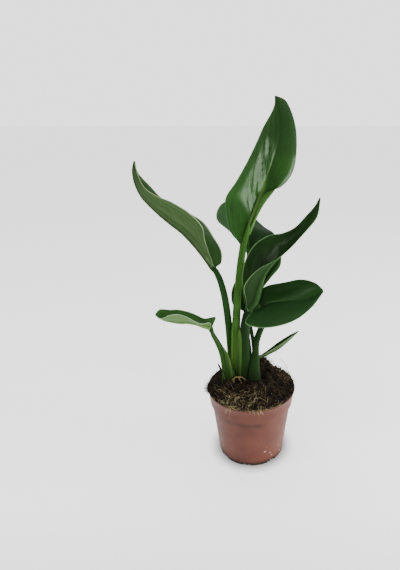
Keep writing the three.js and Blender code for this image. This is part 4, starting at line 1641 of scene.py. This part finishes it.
SCALES = [
    Scale(
        "sheath_lobe", Grown.SHEATH,
        [[-16, -1.2, 100], [-16, -2, 138], [-15.8, -2.2, 156], [-15.6, -1.4, 171],
         [-15.6, 0.5, 187]],
        4.0,
    ),
    Scale(
        "sheath_lip", Grown.UPRIGHT,
        [[-25.5, 5, 100], [-25.6, 5, 136], [-25, 5.2, 159], [-24.6, 6, 182], [-24.3, 8, 198]],
        2.4,
    ),
    Scale(
        "sheath_tip", Grown.SHEATH,
        [[-28.5, -4.6, 104], [-29.5, -4.6, 126], [-31, -4.4, 139], [-34, -4, 151],
         [-37.8, -3, 161]],
        3.0,
    ),
    Scale(
        "sheath_between", Grown.SHADED,
        [[-1.1, 9, 98], [-1.3, 9, 125], [-1.8, 9, 145], [-2.6, 10, 170]], 2.9,
    ),
    Scale(
        "stalk_tongue", Grown.UPRIGHT,
        [[-13, 13.2, 274], [-10.6, 14.6, 290], [-8.3, 15.4, 300], [-6, 16.2, 309],
         [-3.7, 17.2, 318], [-1.9, 18.6, 326]],
        3.3,
    ),
    Scale(
        "scale_outer", Grown.YOUNG, [[-37.7, -4, 100], [-38.3, -4, 114], [-39.3, -3, 122]], 1.4,
    ),
]


@dataclass(frozen=True)
class Roots:
    """The bare roots that arch out in front of the stalks."""

    radius: float = 0.65
    kinks: float = 0.8
    points: int = 40
    paths: tuple[tuple[tuple[float, float, float], ...], ...] = (
        ((-28, -6, 99), (-27, -6, 109), (-23, -6, 115), (-17, -6, 117), (-11, -6, 115),
         (-7, -6, 109), (-5, -6, 99)),
        ((-23, -6, 115), (-24, -8, 111), (-23, -9, 105), (-23, -9, 99)),
        ((-17, -6, 117), (-15, -8, 112), (-12, -9, 106), (-11, -9, 99)),
    )

    def build(self) -> bpy.types.Object:
        """Draws the roots with small kinks.

        Returns:
            The roots in one piece.
        """
        paths, radii = [], []
        for k, path in enumerate(self.paths):
            line = spline(np.array(path, float), np.linspace(0, len(path) - 1, self.points))
            shake = [
                [noise.noise(Vector(p) / 4.0 + Vector((k, 0, 9 * axis))) for axis in range(3)]
                for p in line
            ]
            paths.append(line + self.kinks * np.array(shake))
            swell = np.array([noise.noise(Vector(p) / 3.0) for p in line])
            radii.append(self.radius * (0.85 + 0.25 * swell))
        return strands("roots_arched", paths, radii, 2)

    def dress(self, piece: bpy.types.Object) -> None:
        """Gives the roots their dry tan."""
        settle(piece, DryFibre("root_bark", "#503d26", "#9a8058").material(), "root", "surface_roots")


@dataclass(frozen=True)
class Stub:
    """The dead stub of an old stalk."""

    path: tuple[tuple[float, float, float], ...] = ((-38, 21, 94), (-41, 20, 106), (-47, 20, 122))
    radius: float = 1.45
    points: int = 30
    ragged_end: tuple[float, float, float] = (0.85, 0.6, 0.25)

    def build(self) -> bpy.types.Object:
        """Draws the withered stick with its ragged end.

        Returns:
            The stub.
        """
        line = spline(np.array(self.path, float), np.linspace(0, len(self.path) - 1, self.points))
        wither = np.array([noise.noise(Vector(p) / 2.2) for p in line])
        radii = self.radius * (1 + 0.12 * wither)
        radii[-len(self.ragged_end):] *= self.ragged_end
        return strands("stub_withered", [line], [radii], 3)

    def dress(self, piece: bpy.types.Object) -> None:
        """Gives the stub its dead brown."""
        settle(piece, DryFibre("dead_bark", "#0c0907", "#231a13").material(), "dead_stalk", "dead_stub")


@dataclass(frozen=True)
class Lamp:
    """A broad soft light that faces the plant."""

    name: str
    place: tuple[float, float, float]
    size: tuple[float, float]
    power: float
    aim: tuple[float, float, float] = (0.0, 0.0, 0.25)

    def hang(self) -> None:
        """Hangs the light, turned to the plant's middle."""
        deselect()
        turn = (Vector(self.aim) - Vector(self.place)).to_track_quat("-Z", "Y").to_euler()
        bpy.ops.object.light_add(type="AREA", location=self.place, rotation=turn)
        light = bpy.context.object
        light.name = self.name
        light.data.shape = "RECTANGLE"
        light.data.size, light.data.size_y = self.size
        light.data.energy = self.power


@dataclass(frozen=True)
class Studio:
    """The pale floor, the soft light and the camera."""

    lamps: tuple[Lamp, ...] = (
        Lamp("window_light", (1.0, -1.09, 0.28), (0.75, 0.5), 13.0),
        Lamp("edge_light", (1.32, -0.19, 0.25), (0.7, 0.3), 20.0),
        Lamp("top_light", (-0.59, -0.38, 1.57), (0.6, 0.6), 10.0),
        Lamp("side_light", (-0.61, -1.22, 0.57), (0.4, 0.4), 5.0),
    )
    camera_place: tuple[float, float, float] = (0.0, -0.521, 0.450)
    camera_pitch: float = 21.1
    lens: float = 27.79
    shift: float = -0.0899
    floor_size: float = 40
    floor_glow: float = 1.3
    glow_rises: tuple[float, float] = (-0.45, -0.12)
    glow_clears_pot: tuple[float, float] = (0.048, 0.062)
    sky_glow: tuple[float, float] = (0.1, 2.2)
    sky_rises: tuple[float, float] = (-0.1, 0.9)

    def build(self) -> None:
        """Lays the floor, hangs the lights and sets up the camera."""
        self.floor()
        self.sky()
        for lamp in self.lamps:
            lamp.hang()
        self.camera()

    def floor(self) -> None:
        """Lays a plain pale floor, which glows a little but for the front and under the pot."""
        deselect()
        bpy.ops.mesh.primitive_plane_add(size=self.floor_size, location=(0, 0, 0))
        floor = name_piece(bpy.context.object, "floor")
        s = Shader("pale_floor")
        depth = s.node("SeparateXYZ", {0: s.place()}).outputs["Y"]
        away = s.node("VectorMath", {0: s.place()}, operation="LENGTH").outputs["Value"]
        beside = s.span(away, *self.glow_clears_pot, 0.0, self.floor_glow)
        s.coat(
            Base_Color=(0.93, 0.93, 0.93, 1.0),
            Roughness=0.9,
            Specular_IOR_Level=0.1,
            Emission_Color=(1.0, 1.0, 1.0, 1.0),
            Emission_Strength=s.sum("MULTIPLY", s.span(depth, *self.glow_rises), beside),
        )
        floor.data.materials.append(s.material)

    def sky(self) -> None:
        """Fills the room with soft white light, brighter behind the plant than before it."""
        world = bpy.context.scene.world or bpy.data.worlds.new("studio")
        bpy.context.scene.world = world
        world.use_nodes = True
        tree = world.node_tree
        where = tree.nodes.new("ShaderNodeTexCoord").outputs["Generated"]
        split = tree.nodes.new("ShaderNodeSeparateXYZ")
        tree.links.new(where, split.inputs[0])
        fade = tree.nodes.new("ShaderNodeMapRange")
        fade.interpolation_type = "SMOOTHSTEP"
        tree.links.new(split.outputs["Y"], fade.inputs["Value"])
        for socket, value in zip(fade.inputs[1:5], (*self.sky_rises, *self.sky_glow)):
            socket.default_value = value
        glow = tree.nodes["Background"]
        glow.inputs["Color"].default_value = (1, 1, 1, 1)
        tree.links.new(fade.outputs[0], glow.inputs["Strength"])

    def camera(self) -> None:
        """Places the camera as the photo was taken."""
        deselect()
        tilt = math.radians(90 - self.camera_pitch)
        bpy.ops.object.camera_add(location=self.camera_place, rotation=(tilt, 0, 0))
        camera = bpy.context.object
        camera.data.lens = self.lens
        camera.data.sensor_width = 36
        camera.data.shift_x = self.shift
        camera.data.clip_start = 0.01
        bpy.context.scene.camera = camera


def main() -> None:
    """Builds every piece in order."""
    logging.basicConfig(level=logging.INFO, format="%(message)s")
    greens = {kind: finish.material() for kind, finish in FINISHES.items()}
    for leaf in LEAVES:
        leaf.dress(leaf.build(), greens[leaf.grown])
    for scale in SCALES:
        scale.dress(scale.build(), greens[scale.grown])
    pot = Pot()
    pot.dress(pot.build())
    soil = Soil()
    soil.dress(soil.build(pot))
    for small in (Roots(), Stub()):
        small.dress(small.build())
    Litter(soil, random.Random(LITTER_SEED)).scatter(pot)
    Studio().build()


if __name__ == "__main__":
    main()
